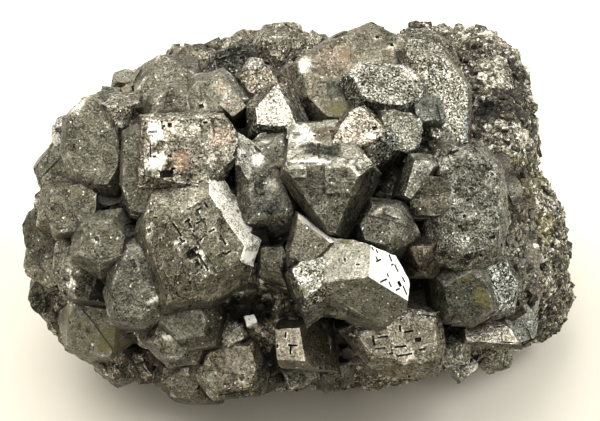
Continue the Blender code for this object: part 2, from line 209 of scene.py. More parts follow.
SEEDS = [Seed(*row) for row in (
    ("hollow_block", 20.5, 16.5, 39, FACE, 15, 10, -10, 4.3, 2.4, ROUGH, 0.42, 0.30, RIGHT),
    ("blue_shoulder", 26.4, 21.5, 33.5, FACE, 15, 25, 4, 3.0, 2.8, SMOOTH, 0.42, 0.05, RIGHT),
    ("dark_tooth", 24, -8, 44, CORNER, 0, 0, 0, 4, 2.2, SMOOTH, 0.26, 0.20, RIGHT),
    ("pillar_crown", 26, 33.6, 22.5, CORNER, 10, 20, 0, 5.5, 1.7, DRUSY, 0.42, 0.35, RIGHT),
    ("pillar_root", 27, 31, 22, FACE, 10, 20, 20, 6.5, 2.4, ROUGH, 0.40, 0.35, RIGHT),
    ("plate_root", 38, -26, 24, FACE, 10, -10, 30, 3.6, 2.4, ROUGH, 0.24, 0.35, RIGHT),
    ("blue_shell", 46, -22.5, 24, FACE, 30, 10, 15, 4, 2.4, SMOOTH, 0.42, 0.10, RIGHT),
    ("grotto_chip", 32, -28, 27, CORNER, 0, 0, 10, 3.2, 2.0, DRUSY, 0.52, 0.20, RIGHT),
    ("grotto_lump", 42, -29.5, 20, CORNER, 20, -5, 10, 3.6, 2.0, ROUGH, 0.42, 0.30, RIGHT),
    ("broken_foot", 34, -31.5, 22, FACE, 5, 10, 35, 2.6, 2.5, ROUGH, 0.50, 0.20, RIGHT),
    ("striped_side", 26, 3.5, 43, FACE, 0, 10, 0, 4, 2.5, STEPPED, 0.34, 0.50, RIGHT),
    ("small_brown", -13.8, -24, 33.5, FACE, 0, 10, 30, 2.5, 2.5, ROUGH, 0.42, 0.50, FRONT),
    # A tiny pale crystal whose bright faces paint a glint in the dark hollow
    ("hollow_chip", -10, -21.5, 37, FACE, 0, 20, 20, 1.1, 2.6, SMOOTH, 0.80, 0.00, FRONT),
    ("bottom_corner", -27, -31.5, 20, CORNER, -20, -15, 0, 5, 2.0, ROUGH, 0.38, 0.30, FRONT),
    ("bottom_gap", -32, -30.5, 16, CORNER, 0, 0, 10, 4.6, 2.0, ROUGH, 0.28, 0.35, FRONT),
    ("bottom_middle", 0, -32, 25, FACE, 0, 10, 25, 3.2, 2.4, ROUGH, 0.46, 0.35, FRONT),
    ("bottom_dark", -7, -32.5, 23, CORNER, 0, -10, 30, 4.4, 2.0, SMOOTH, 0.24, 0.35, FRONT),
    ("bottom_chip", 7.5, -33, 23, CORNER, 10, -10, 20, 4.2, 2.0, SMOOTH, 0.30, 0.35, FRONT),
    ("lower_left_chip", -39.5, -31.5, 17, CORNER, -15, -10, 25, 5.0, 1.9, ROUGH, 0.34, 0.35, FRONT),
    ("dark_slab", -13.5, 30.5, 22, FACE, -5, 15, 12, 4.6, 2.5, ROUGH, 0.24, 0.05, TOP),
    ("bright_button", -9.5, 30, 29, CORNER, 0, 0, 0, 1.9, 1.7, GRAINY, 0.52, 0.35, TOP),
    ("pale_step", -8.5, 27.5, 30, FACE, 5, 30, 30, 3.4, 2.6, GRAINY, 0.44, 0.35, TOP),
    ("glassy_chip", -13.5, 22, 34.5, FACE, 0, 20, 40, 2, 2.8, SMOOTH, 0.46, 0.10, TOP),
    ("top_lump", -21, 32.5, 8, CORNER, 0, 10, 0, 3.6, 1.8, ROUGH, 0.38, 0.50, TOP),
    ("top_block", -15, 33.5, 6, FACE, 0, 10, 20, 4.0, 2.2, ROUGH, 0.38, 0.50, TOP),
    ("drusy_top", -4, 34.5, 12, CORNER, 0, 10, 0, 6.2, 1.8, DRUSY, 0.44, 0.45, TOP),
    ("drusy_side", 3.5, 33.5, 12, CORNER, 10, 15, 40, 5.5, 1.9, GRAINY, 0.40, 0.35, TOP),
    ("left_point", -49.2, 9.5, 20, FACE, -15, 5, 45, 4.8, 2.6, SMOOTH, 0.38, 0.40, LEFT),
    ("left_small", -53, 2.5, 17, FACE, -20, 5, 20, 2.8, 2.4, SMOOTH, 0.38, 0.30, LEFT),
    ("left_pale", -46.5, 1, 32, FACE, -20, 20, 5, 5.2, 2.5, SMOOTH, 0.37, 0.40, LEFT),
    ("left_tuft", -49.3, 17.5, 21, CORNER, -20, 10, 15, 3.6, 1.8, DRUSY, 0.66, 0.20, LEFT),
    ("left_edge_upper", -53.6, -4, 17, FACE, -30, 0, 10, 5.6, 2.3, SMOOTH, 0.34, 0.30, LEFT),
    ("left_edge_lower", -54, -10.5, 15, FACE, -30, -10, 20, 5.4, 2.2, SMOOTH, 0.36, 0.20, LEFT),
    ("left_edge_foot", -53.6, -18.5, 12, FACE, -25, -15, 10, 4.6, 2.2, ROUGH, 0.30, 0.35, LEFT),
    ("earthy_lump", -43.5, -24.6, 21, FACE, -15, -12, 35, 7.4, 2.0, SMOOTH, 0.34, 1.0, LEFT),
    ("top_left_round", -27.5, 26.5, 23, FACE, -5, 15, 15, 7.2, 2.0, STEPPED, 0.34, 0.35, TOP),
    ("sparkling_lump", -37.4, 20.5, 32, CORNER, -10, 10, 0, 4.4, 2.2, GRAINY, 0.42, 0.40, LEFT),
)]


@dataclass(frozen=True)
class Cut:
    """A crystal of the show side that is cut to the outline of its front face.

    Attributes:
        name: The crystal's name.
        out: How far its front face stands out in the show frame, in millimetres.
        right, rise, spin: Turn of the front face in the show frame, in degrees.
        depth: How deep its body reaches behind the front face, in millimetres.
        surface: The kind of surface that it has.
        shade: How bright the front face is, from 0 dull to 1 bright: partly its tarnish and partly
            painted light and shade.
        stain: How much brown and olive film it has, from 0 to 1.
        group: The piece that it is joined into.
        corners: Corners of the front face, clockwise: its place in the photograph's pixels,
            then of the facet between it and the next corner the tilt from the front face in
            degrees, the width in millimetres, and the shade.
    """

    name: str
    out: float
    right: float
    rise: float
    spin: float
    depth: float
    surface: Surface
    shade: float
    stain: float
    group: Group
    corners: tuple[tuple[float, float, float, float, float], ...]


# The facets' shades paint light and shade as well as tarnish: facets that face down or away from
# the light are given darker shades, those that face up lighter, and the brightest are painted white
# glare.
CUTS = [Cut(*row) for row in (
    ("etched_block", 48, 12, 14, 30, 17, ETCHED, 0.31, 0.50, MIDDLE, (
        (171, 220, 30, 8.5, 0.50), (209, 194, 34, 6.5, 0.95), (246, 246, 42, 4, 0.9),
        (241, 262, 58, 7, 0.30), (206, 280, 55, 5.5, 0.30), (190, 281, 46, 6.5, 0.35),
        (170, 223, 38, 6, 0.42))),
    ("patchwork_block", 43.2, 12, 6, 3, 12, PATCHWORK, 0.56, 0.12, MIDDLE, (
        (147, 120, 60, 2, 0.5), (222, 116, 50, 2, 0.5), (240, 143, 55, 3, 0.36),
        (226, 166, 50, 3, 0.34), (205, 187, 55, 3, 0.42), (152, 178, 50, 4, 0.42),
        (146, 170, 60, 2, 0.40))),
    ("patchwork_side", 41.5, -24, 0, 0, 13, SMOOTH, 0.40, 0.15, MIDDLE, (
        (124, 136, 50, 3, 0.40), (146, 124, 50, 3, 0.40), (153, 180, 50, 3, 0.30),
        (154, 206, 55, 3, 0.30), (146, 213, 55, 3, 0.25), (130, 210, 55, 3, 0.25),
        (122, 186, 50, 3, 0.32))),
    ("centre_crystal", 50, 2, 0, 0, 17, STEPPED, 0.36, 0.2, MIDDLE, (
        (286, 171, 60, 1.0, 0.5), (287.5, 165, 52, 14, 0.56), (352, 163, 48, 5, 0.62),
        (361, 174, 62, 9, 0.20), (336, 231, 60, 2, 0.2), (328, 230, 74, 6, 0.24))),
    ("bright_cube", 50, 38, 14, 20, 14, FLAWED, 1.10, 0.0, MIDDLE, (
        (371, 245, 70, 3, 0.5), (396, 256, 50, 2.5, 0.42), (410, 281, 55, 2.5, 0.34),
        (408, 301, 72, 9.5, 0.36), (369, 277, 52, 9.5, 0.58))),
    ("smooth_foot", 46, -8, -14, 0, 12, SMOOTH, 0.24, 0.3, MIDDLE, (
        (326, 262, 40, 2, 0.34), (345, 280, 50, 3, 0.26), (350, 316, 60, 3, 0.2),
        (310, 314, 60, 3, 0.2), (302, 298, 55, 3, 0.3))),
    ("silver_cap", 43, 4, 28, 0, 12, GRAINY, 0.58, 0.0, MIDDLE, (
        (351, 109, 60, 2, 0.4), (362, 106, 60, 6, 0.34), (386, 130, 50, 8, 0.42),
        (379, 137, 60, 6, 0.34), (352, 149, 60, 4, 0.32), (337, 150, 60, 3, 0.3),
        (332, 140, 60, 3, 0.3))),
    ("pale_plate", 33, 5, 30, -8, 6, GRAINY, 0.42, 0.1, TOP, (
        (351, 73, 50, 2, 0.5), (361, 64, 45, 2, 0.50), (400, 66, 30, 2, 0.66),
        (416, 76, 50, 2, 0.5), (424, 86, 60, 5, 0.4), (419, 97, 60, 5, 0.35),
        (403, 105, 65, 5, 0.3), (386, 103.5, 65, 5, 0.3), (364, 99, 60, 4, 0.33))),
    ("peak_face", 26.5, 4, 34, 0, 18, STEPPED, 0.40, 0.30, TOP, (
        (373, 25, 50, 4, 0.34), (400, 38, 50, 4, 0.36), (418, 62, 55, 4, 0.36),
        (424, 86, 60, 4, 0.3), (403, 106, 60, 4, 0.3), (345, 119, 62, 4, 0.25),
        (327, 116, 60, 4, 0.25), (309, 98, 45, 6, 0.30), (299, 62, 50, 4, 0.42),
        (330, 41, 45, 4, 0.40))),
    ("bright_wedge", 38, 0, 26, 0, 12, GRAINY, 0.68, 0.0, MIDDLE, (
        (275, 85, 50, 2, 0.5), (279, 85, 52, 6, 0.30), (296, 124, 65, 5, 0.26),
        (291, 128, 62, 5, 0.28), (257, 124, 60, 4, 0.3), (256, 108, 50, 6, 0.36))),
    ("dull_dome", 43, 0, 14, 0, 10, SMOOTH, 0.40, 0.2, MIDDLE, (
        (262, 142, 40, 3, 0.42), (282, 140, 45, 3, 0.36), (291, 152, 55, 3, 0.30),
        (290, 166, 55, 3, 0.3), (268, 166, 50, 3, 0.3), (252, 152, 45, 3, 0.42))),
    ("left_of_centre", 44, 2, 4, 0, 12, STEPPED, 0.42, 0.1, MIDDLE, (
        (257, 152, 50, 2, 0.45), (276, 165, 55, 4, 0.30), (291, 202, 55, 4, 0.28),
        (291, 215, 48, 6, 0.34), (252, 216, 48, 4, 0.30), (250, 190, 36, 5.5, 0.66))),
    ("brown_chip", 43, -8, 12, 20, 8, SMOOTH, 0.32, 0.5, MIDDLE, (
        (260, 248, 55, 3, 0.3), (280, 246, 55, 3, 0.25), (286, 259, 60, 3, 0.25),
        (280, 273, 60, 3, 0.25), (262, 268, 60, 3, 0.3))),
    ("right_knob", 46, -6, 18, -15, 12, SMOOTH, 0.40, 0.2, MIDDLE, (
        (372, 203, 50, 3, 0.44), (395, 205, 50, 4, 0.34), (405, 228, 55, 4, 0.32),
        (400, 236, 60, 3, 0.28), (385, 245, 60, 3, 0.3), (365, 240, 60, 3, 0.28),
        (360, 225, 50, 3, 0.4))),
    ("pale_blade", 43, 6, 8, -26, 9, SMOOTH, 0.54, 0.1, RIGHT, (
        (415, 160, 50, 2, 0.4), (430, 160, 50, 2, 0.4), (434, 166, 60, 3, 0.3),
        (420, 187, 60, 3, 0.3), (412, 198, 60, 2, 0.3), (405, 193, 60, 3, 0.3))),
    ("shield", 49, -10, 10, -38, 10, SMOOTH, 0.40, 0.2, MIDDLE, (
        (298, 218, 50, 1.3, 1.05), (331, 243, 60, 3, 0.3), (326, 250, 60, 3, 0.3),
        (310, 262, 60, 3, 0.3), (291, 258, 60, 3, 0.25), (291, 245, 60, 3, 0.3))),
    ("silver_facet", 50.5, -8, 20, 8, 10, GRAINY, 0.58, 0.0, MIDDLE, (
        (300, 262, 50, 2, 0.5), (318, 258, 50, 3, 0.5), (326, 262, 60, 3, 0.4),
        (322, 286, 60, 3, 0.3), (305, 298, 60, 3, 0.3), (292, 270, 60, 3, 0.3))),
    ("pitted_block", 40, 2, -6, 10, 14, ETCHED, 0.57, 0.1, FRONT, (
        (355, 337, 55, 3.5, 0.66), (395, 317, 55, 3, 0.62), (434, 321, 55, 3, 0.4),
        (438, 345, 50, 3, 0.35), (434, 362, 50, 6, 0.30), (404, 364, 50, 6, 0.34),
        (372, 357, 60, 4, 0.28))),
    ("square_pit_block", 40, -22, 4, 0, 10, FLAWED, 0.66, 0.1, FRONT, (
        (275, 329, 60, 4, 0.24), (300, 328, 68, 9, 0.24), (305, 361, 60, 3, 0.3),
        (277, 360, 70, 1.0, 1.0))),
    ("streaked_shoulder", 36, 28, 0, 0, 12, STEPPED, 0.34, 0.1, FRONT, (
        (306, 325, 60, 4, 0.3), (324, 322, 60, 4, 0.25), (334, 338, 60, 4, 0.25),
        (330, 360, 60, 4, 0.22), (309, 362, 60, 4, 0.25))),
    ("grey_front", 40, -10, 2, 10, 12, SMOOTH, 0.43, 0.3, FRONT, (
        (167, 299, 50, 4, 0.42), (197, 297, 50, 5, 0.26), (206, 322, 55, 4, 0.2),
        (203, 336, 55, 4, 0.25), (182, 340, 60, 4, 0.3), (160, 322, 50, 4, 0.35))),
    ("streaked_front", 37, -8, -4, 10, 12, STEPPED, 0.42, 0.1, FRONT, (
        (158, 326, 50, 4, 0.42), (174, 326, 50, 4, 0.4), (191, 344, 55, 4, 0.3),
        (186, 358, 60, 4, 0.3), (168, 360, 60, 4, 0.3), (150, 342, 50, 4, 0.3))),
    ("bottom_left", 32, 0, -4, -8, 15, STEPPED, 0.54, 0.1, FRONT, (
        (206, 354, 50, 3, 0.5), (226, 345, 50, 3, 0.5), (250, 346, 50, 3, 0.45),
        (256, 366, 50, 5, 0.30), (250, 388, 55, 4, 0.30), (216, 392, 60, 4, 0.42),
        (201, 376, 50, 4, 0.33))),
    ("foot_lump", 26, -14, 4, 0, 12, STEPPED, 0.42, 0.2, FRONT, (
        (164, 368, 50, 4, 0.42), (190, 366, 50, 4, 0.42), (202, 378, 55, 4, 0.3),
        (196, 392, 60, 4, 0.3), (176, 392, 60, 4, 0.3), (160, 382, 50, 4, 0.3))),
    ("right_block", 41, 16, 8, 10, 16, ROUGH, 0.36, 0.25, RIGHT, (
        (449, 160, 45, 4, 0.42), (480, 152, 45, 4, 0.42), (497, 170, 50, 5, 0.36),
        (502, 215, 50, 5, 0.34), (496, 245, 50, 5, 0.33), (470, 256, 55, 5, 0.3),
        (446, 248, 50, 5, 0.33), (440, 195, 50, 4, 0.36))),
    ("olive_block", 40, 6, -2, -20, 14, SMOOTH, 0.24, 0.4, RIGHT, (
        (445, 287, 45, 8, 0.42), (472, 271, 50, 5, 0.35), (486, 286, 55, 3, 0.3),
        (493, 310, 60, 3, 0.25), (480, 318, 60, 4, 0.2), (448, 315, 60, 5, 0.25))),
    ("olive_hood", 36, 10, 16, 0, 12, GRAINY, 0.34, 0.5, RIGHT, (
        (438, 242, 50, 4, 0.36), (466, 238, 50, 4, 0.36), (482, 254, 55, 4, 0.36),
        (478, 272, 60, 4, 0.3), (446, 280, 60, 4, 0.3), (434, 262, 50, 4, 0.34))),
    ("blue_grey_block", 35, 25, 4, 20, 12, GRAINY, 0.42, 0.05, RIGHT, (
        (485, 262, 50, 4, 0.45), (508, 264, 50, 3, 0.4), (518, 285, 55, 3, 0.35),
        (514, 308, 60, 3, 0.3), (495, 314, 60, 3, 0.3), (482, 290, 50, 4, 0.3))),
    ("beige_plate", 32, 8, 30, 0, 2.2, SMOOTH, 0.62, 0.0, RIGHT, (
        (464, 330, 50, 3, 0.4), (474, 321, 50, 3, 0.4), (498, 320, 50, 3, 0.4),
        (512, 330, 50, 1, 0.4), (519, 343, 70, 1, 0.25), (466, 340, 60, 1, 0.3))),
    ("right_pillar", 29, 25, 12, -15, 14, GRAINY, 0.46, 0.1, RIGHT, (
        (425, 58, 45, 4, 0.45), (448, 60, 50, 5, 0.42), (468, 86, 50, 4, 0.36),
        (468, 142, 55, 4, 0.3), (455, 153, 60, 4, 0.3), (432, 136, 50, 4, 0.36),
        (424, 90, 45, 4, 0.38))),
    ("left_big", 31, -14, 12, 15, 15, SMOOTH, 0.36, 0.30, LEFT, (
        (67, 118, 50, 2.5, 0.5), (80, 103, 50, 2.5, 0.45), (97, 98, 50, 3, 0.38),
        (108, 108, 50, 4, 0.34), (117, 136, 50, 3, 0.30), (118, 166, 50, 3, 0.28),
        (108, 184, 50, 3, 0.30), (90, 184, 50, 3, 0.30), (74, 170, 50, 3, 0.33),
        (65, 148, 50, 3, 0.36))),
    ("left_bright", 31, -34, 6, -10, 12, STEPPED, 0.44, 0.1, LEFT, (
        (62, 234, 50, 3, 0.4), (80, 268, 50, 4, 0.30), (74, 290, 55, 3, 0.3),
        (60, 290, 55, 3, 0.3), (52, 272, 50, 3, 0.4), (55, 246, 50, 3, 0.42))),
    ("left_grey", 41, -10, 4, 25, 14, SMOOTH, 0.38, 0.1, LEFT, (
        (128, 251, 45, 4, 0.42), (143, 249, 50, 5, 0.30), (166, 276, 50, 4, 0.3),
        (165, 300, 55, 4, 0.3), (140, 317, 55, 4, 0.3), (115, 314, 55, 4, 0.3),
        (111, 297, 50, 4, 0.34), (115, 276, 50, 4, 0.38))),
    ("round_hexagon", 38, -10, 10, 10, 13, SMOOTH, 0.38, 0.5, LEFT, (
        (84, 224, 45, 4, 0.38), (112, 220, 45, 4, 0.38), (125, 236, 50, 4, 0.33),
        (122, 252, 55, 4, 0.28), (98, 264, 55, 4, 0.26), (78, 252, 50, 4, 0.32))),
    ("grey_block", 33, -6, 16, 20, 13, SMOOTH, 0.42, 0.2, TOP, (
        (196, 82, 45, 4, 0.42), (217, 77, 45, 4, 0.42), (236, 97, 50, 4, 0.36),
        (224, 110, 55, 4, 0.33), (192, 118, 55, 4, 0.33), (182, 100, 50, 4, 0.36))),
    ("upper_left_block", 33, -6, 6, -10, 12, SMOOTH, 0.38, 0.2, TOP, (
        (152, 100, 50, 4, 0.42), (170, 90, 50, 4, 0.40), (186, 96, 50, 4, 0.36),
        (190, 112, 55, 4, 0.33), (166, 118, 55, 4, 0.33), (150, 114, 50, 4, 0.36))),
)]

# Colour cast of the crystals that stand out, from 0 bluish through 0.5 neutral to 1 pinkish
HUES = {
    "right_knob": 0.35, "blue_shoulder": 0.15, "blue_shell": 0.2, "blue_grey_block": 0.25,
    "right_block": 0.32, "dull_dome": 0.4, "left_of_centre": 0.35, "smooth_foot": 0.35,
    "dark_slab": 0.25, "bottom_left": 0.65, "pitted_block": 0.62, "square_pit_block": 0.65,
    "silver_cap": 0.65, "patchwork_block": 0.6, "shield": 0.52, "pale_blade": 0.4,
    "grey_front": 0.45, "round_hexagon": 0.4, "etched_block": 0.52,
    "bright_cube": 0.45, "dark_tooth": 0.75, "left_grey": 0.4, "silver_facet": 0.4,
    "bright_wedge": 0.55, "streaked_shoulder": 0.3, "beige_plate": 0.62, "left_big": 0.45,
    "grey_block": 0.45, "peak_face": 0.58, "left_pale": 0.4, "centre_crystal": 0.45,
    "patchwork_side": 0.45, "olive_block": 0.3, "earthy_lump": 0.3,
}


# A patch's edge is broken into pieces of this many pixels of the photograph
PATCH_CELL = 7.0
# How often in a pixel the edge wavers, how far it does as a share of the half width, how far
# outside the half width it lies, and how steeply the patch sets in
WAVER_RATE = 0.3
WAVER = 0.3
PATCH_EDGE = 1.05
PATCH_STEEPNESS = 6


@dataclass(frozen=True)
class Patch:
    """A patch of another tone on a crystal of the show side, on the ground or on the rock.

    Attributes:
        x, y: Its middle, in the photograph's pixels.
        half_width, half_height: Its half widths along its own axes, in pixels.
        turn: Its turn clockwise, in degrees.
        glow: How much brighter it is, less than zero where it is duller. Bright patches are partly
            the crystals' own pale places and partly painted glints and highlights; the ground's
            dark ones are painted shade.
        film: How much more film it has, from 0 to 1.
        hue: Its colour cast, from 0 bluish through 0.5 neutral to 1 pinkish.
    """

    x: float
    y: float
    half_width: float
    half_height: float
    turn: float
    glow: float
    film: float
    hue: float

    def share(self, x: float, y: float) -> float:
        """Tell how fully the patch covers a pixel.

        Args:
            x: Pixels from the photograph's left edge.
            y: Pixels from its top edge.

        Returns:
            The covered share, from 0 to 1.
        """
        # The pixel is taken halfway to the middle of its cell, which makes the edge angular
        cell = noise.voronoi(Vector((x / PATCH_CELL, y / PATCH_CELL, self.x)))[1][0] * PATCH_CELL
        angle = math.radians(self.turn)
        right, down = (x + cell.x) / 2 - self.x, (y + cell.y) / 2 - self.y
        along = right * math.cos(angle) + down * math.sin(angle)
        across = down * math.cos(angle) - right * math.sin(angle)
        gone = math.hypot(along / self.half_width, across / self.half_height)
        ragged = noise.noise(Vector((x * WAVER_RATE, y * WAVER_RATE, self.x))) * WAVER
        return min(max((PATCH_EDGE + ragged - gone) * PATCH_STEEPNESS, 0.0), 1.0)


# The patches of each crystal of the show side, of the ground and of the rock
PATCHES = {name: [Patch(*row) for row in rows] for name, rows in {
    "patchwork_block": (
        (155, 132, 9, 11, 0, 0.50, 0.0, 0.45), (157, 162, 9, 10, 0, 0.60, 0.0, 0.5),
        (172, 128, 4, 8, 0, 0.22, 0.0, 0.9), (181, 160, 8, 12, 15, 0.0, 0.35, 1.0),
        (203, 136, 5, 8, 0, -0.10, 0.8, 0.0), (198, 128, 6, 6, 0, 0.20, 0.0, 0.6),
        (222, 138, 10, 12, 40, 0.05, 0.0, 0.9), (212, 170, 12, 6, 10, 0.05, 0.3, 0.3),
        (162, 180, 9, 4, -20, -0.25, 0.2, 0.5), (168, 168, 4, 9, 20, -0.30, 0.3, 0.6),
    ),
    "etched_block": (
        (251, 256, 7, 6, 0, 0.50, 0.0, 0.5), (203, 256, 2, 11, -20, 0.45, 0.0, 0.5),
        (184, 243, 9, 2, -10, 0.35, 0.0, 0.5), (187, 251, 5, 8, 0, -0.15, 0.0, 0.3),
        (150, 231, 4, 9, 10, 0.35, 0.0, 0.5), (215, 262, 12, 6, 0, -0.06, 0.2, 0.2),
        (176, 242, 5, 2, 20, 0.35, 0.0, 0.5),
    ),
    "left_of_centre": (
        (259, 159, 7, 7, 0, 0.50, 0.0, 0.5), (270, 185, 8, 7, 20, 0.30, 0.0, 0.5),
        (262, 185, 4, 12, 20, -0.20, 0.0, 0.3), (266, 207, 14, 7, -8, -0.10, 0.0, 0.05),
        (270, 223, 20, 6, 0, 0.0, 0.2, 0.4),
    ),
    "centre_crystal": (
        (303, 136, 11, 12, 0, 0.32, 0.0, 0.4), (326, 133, 11, 6, 0, -0.16, 0.3, 0.7),
        (324, 150, 20, 6, -6, -0.42, 0.0, 0.3), (302, 147, 9, 1.5, -20, -0.6, 0.0, 0.3),
        (298, 130, 1.5, 8, 20, -0.5, 0.0, 0.3), (325, 161, 32, 2, 0, 0.40, 0.0, 0.3),
    ),
    "silver_cap": (
        (371, 136, 5, 3, 20, 0.45, 0.0, 0.5), (390, 146, 14, 14, 0, 0.04, 0.0, 0.2),
    ),
    "pale_plate": (
        (411, 76, 10, 3, 15, 0.30, 0.0, 0.6), (356, 68, 7, 3, -40, 0.30, 0.0, 0.5),
    ),
    "peak_face": (
        (345, 54, 5, 5, 0, 0.0, 0.9, 1.0), (305, 64, 7, 9, 0, 0.40, 0.0, 0.5),
        (334, 90, 9, 8, 0, -0.12, 0.0, 0.05), (338, 109, 10, 8, 0, 0.0, 0.8, 0.0),
        (336, 60, 20, 17, 0, 0.04, 0.0, 0.75), (304, 90, 6, 22, -10, -0.12, 0.1, 0.5),
        (389, 35, 10, 6, 40, -0.14, 0.0, 0.4),
    ),
    "right_pillar": (
        (436, 108, 8, 8, 0, 0.0, 1.0, 0.0), (466, 128, 4, 18, 0, 0.04, 0.0, 0.0),
    ),
    "blue_shoulder": ((425, 132, 5, 5, 0, 0.0, 0.9, 1.0),),
    "right_knob": ((380, 211, 6, 4, 0, 0.50, 0.0, 0.6),),
    "left_big": (
        (76, 107, 13, 4, -38, 0.30, 0.0, 0.5), (90, 124, 4, 7, 30, -0.02, 0.35, 0.6),
        (87, 142, 1.5, 22, 10, -0.14, 0.0, 0.4), (63, 158, 5, 4, 0, 0.30, 0.0, 0.5),
    ),
    "left_pale": (
        (78, 192, 7, 6, 0, 0.04, 0.6, 0.4), (98, 196, 5, 4, 0, 0.40, 0.0, 0.5),
        (99, 217, 3, 5, 0, 0.40, 0.0, 0.5),
    ),
    "left_bright": (
        (70, 271, 4, 4, 0, 0.45, 0.0, 0.5), (71, 284, 5, 4, 0, 0.50, 0.0, 0.5),
    ),
    "left_grey": ((155, 299, 6, 3, -15, 0.55, 0.0, 0.5),),
    "streaked_front": ((169, 336, 6, 5, -30, 0.55, 0.0, 0.5),),
    "foot_lump": (
        (191, 373, 9, 5, 10, 0.55, 0.0, 0.5), (178, 366, 10, 4, 0, -0.15, 0.0, 0.5),
    ),
    "bottom_left": (
        (211, 376, 9, 6, 0, 0.12, 0.0, 0.4), (264, 372, 9, 14, 0, -0.12, 0.0, 0.3),
    ),
    "grey_block": (
        (221, 88, 12, 8, 50, 0.16, 0.0, 0.7), (227, 99, 9, 6, -30, 0.22, 0.6, 0.3),
    ),
    "olive_block": (
        (466, 277, 6, 5, 0, 0.02, 0.8, 0.0), (481, 298, 12, 7, 55, 0.0, 0.8, 0.0),
    ),
    "pitted_block": (
        (376, 325, 24, 7, -24, 0.10, 0.0, 0.5), (396, 374, 20, 7, 0, -0.05, 0.3, 0.8),
    ),
    # This patch paints a glint
    "sparkling_lump": ((121, 125, 5, 4, 0, 0.45, 0.3, 0.3),),
    "silver_facet": ((305, 292, 8, 5, 0, 0.0, 0.9, 0.0),),
    "bright_cube": ((346, 240, 6, 3, 0, -0.1, 1.0, 0.0),),
    # This patch paints a glint
    "square_pit_block": ((287, 313, 4, 4, 0, 0.7, 0.0, 0.5),),
    "earthy_lump": (
        (87, 330, 14, 1.5, 29, -0.30, 0.0, 0.3), (110, 340, 14, 12, 0, 0.05, 0.6, 0.1),
    ),
    # The ground's patches are painted shade: they darken its deep hollows, the darkest nearly to
    # black
    "ground": (
        (204, 350, 17, 12, -35, -0.90, 0.0, 0.5), (247, 311, 27, 14, -5, -0.90, 0.0, 0.5),
        (332, 343, 16, 29, 0, -0.90, 0.0, 0.5), (420, 278, 10, 17, 0, -0.90, 0.0, 0.5),
        (452, 332, 15, 15, 0, -0.90, 0.0, 0.5), (397, 240, 11, 10, 0, -0.40, 0.0, 0.5),
        (124, 216, 13, 12, 30, -0.40, 0.0, 0.5), (133, 236, 14, 10, -30, -0.40, 0.0, 0.5),
        (225, 181, 7, 11, 0, -0.40, 0.0, 0.5), (272, 240, 15, 9, 0, -0.90, 0.0, 0.5),
        (325, 112, 17, 11, 15, -0.40, 0.0, 0.5), (474, 353, 24, 16, 0, -0.35, 0.0, 0.5),
        (270, 380, 20, 12, 0, -0.30, 0.0, 0.5),
    ),
    "rock": (
        (500, 60, 32, 24, 20, 0.06, 0.0, 0.4), (505, 106, 31, 18, 0, -0.26, 0.0, 0.5),
        (520, 78, 11, 14, 0, -0.10, 0.0, 0.1), (505, 145, 30, 22, 0, 0.06, 0.0, 0.5),
        (528, 175, 24, 26, 30, 0.02, 0.5, 0.3), (545, 228, 9, 18, 0, 0.15, 0.8, 0.2),
        (520, 235, 22, 35, 0, -0.05, 0.5, 0.1), (560, 255, 14, 35, 0, -0.12, 0.2, 0.3),
        (548, 300, 28, 22, 0, -0.10, 0.1, 0.7), (540, 335, 30, 14, 0, -0.15, 0.2, 0.4),
        (95, 330, 45, 30, 15, 0.10, 1.0, 0.7), (60, 320, 14, 12, 15, -0.20, 0.0, 0.4),
        (75, 350, 16, 12, 15, -0.20, 0.2, 0.4), (390, 385, 30, 12, 0, 0.15, 0.2, 0.7),
    ),
}.items()}

# Smaller crystals grown in step with a big one: shift as shares of its half width, size share
LEDGES = (
    ("drusy_top", (0.26, 0.24, 0.20), 0.72),
    ("top_left_round", (0.32, -0.38, 0.12), 0.78),
)

# Pits in the front faces: place in the photograph's pixels, width and height along the face's
# own axes in millimetres, and levels
PITS = {
    "etched_block": (
        (176, 229, 0.5, 3.2, 2), (187, 222, 1.4, 0.5, 2), (189, 224, 0.5, 1.4, 1),
        (201, 221, 2.2, 0.5, 1), (205, 224, 0.5, 1.6, 1), (198, 210, 1.3, 0.5, 2),
        (206, 205, 0.5, 1.0, 2), (192, 254, 2.0, 2.2, 3), (197, 249, 1.0, 0.9, 2),
        (203, 262, 0.5, 4.2, 1), (222, 240, 0.5, 2.2, 1), (226, 254, 2.4, 0.5, 1),
        (197, 277, 2.4, 0.7, 2), (182, 243, 1.8, 0.5, 1), (232, 228, 1.6, 0.5, 1),
    ),
    "patchwork_block": (
        (153, 156, 1.6, 0.6, 2), (151, 150, 0.6, 2.4, 2), (166, 174, 2.6, 1.0, 3),
        (152, 131, 1.8, 0.6, 1), (162, 126, 0.6, 1.6, 1),
    ),
    "pitted_block": (
        (382, 336, 2.2, 0.5, 2), (374, 342, 0.5, 1.6, 2), (400, 329, 0.5, 1.4, 1),
        (408, 332, 2.0, 0.5, 2), (398, 346, 3.2, 0.5, 3), (380, 348, 2.4, 0.5, 2),
        (418, 340, 1.2, 0.5, 2), (404, 354, 3.0, 0.5, 1), (422, 350, 1.6, 0.5, 1),
    ),
    "square_pit_block": (
        (293, 346, 1.8, 0.5, 3), (291, 350, 0.5, 2.2, 3), (285, 335, 0.5, 1.2, 1),
    ),
    "bright_cube": (
        (379, 261, 1.4, 0.4, 2), (377, 258, 0.4, 0.8, 2), (391, 258, 0.4, 1.4, 2),
        (393, 265, 0.9, 0.4, 2), (397, 268, 0.4, 1.6, 2), (388, 275, 0.4, 0.9, 2),
        (384, 281, 2.2, 0.4, 2), (390, 284, 0.4, 1.0, 2), (399, 284, 0.8, 1.2, 3),
        (403, 279, 0.4, 1.2, 2), (405, 290, 0.4, 1.8, 2), (398, 290, 1.2, 0.4, 2),
        (380, 288, 1.6, 0.4, 1),
    ),
}


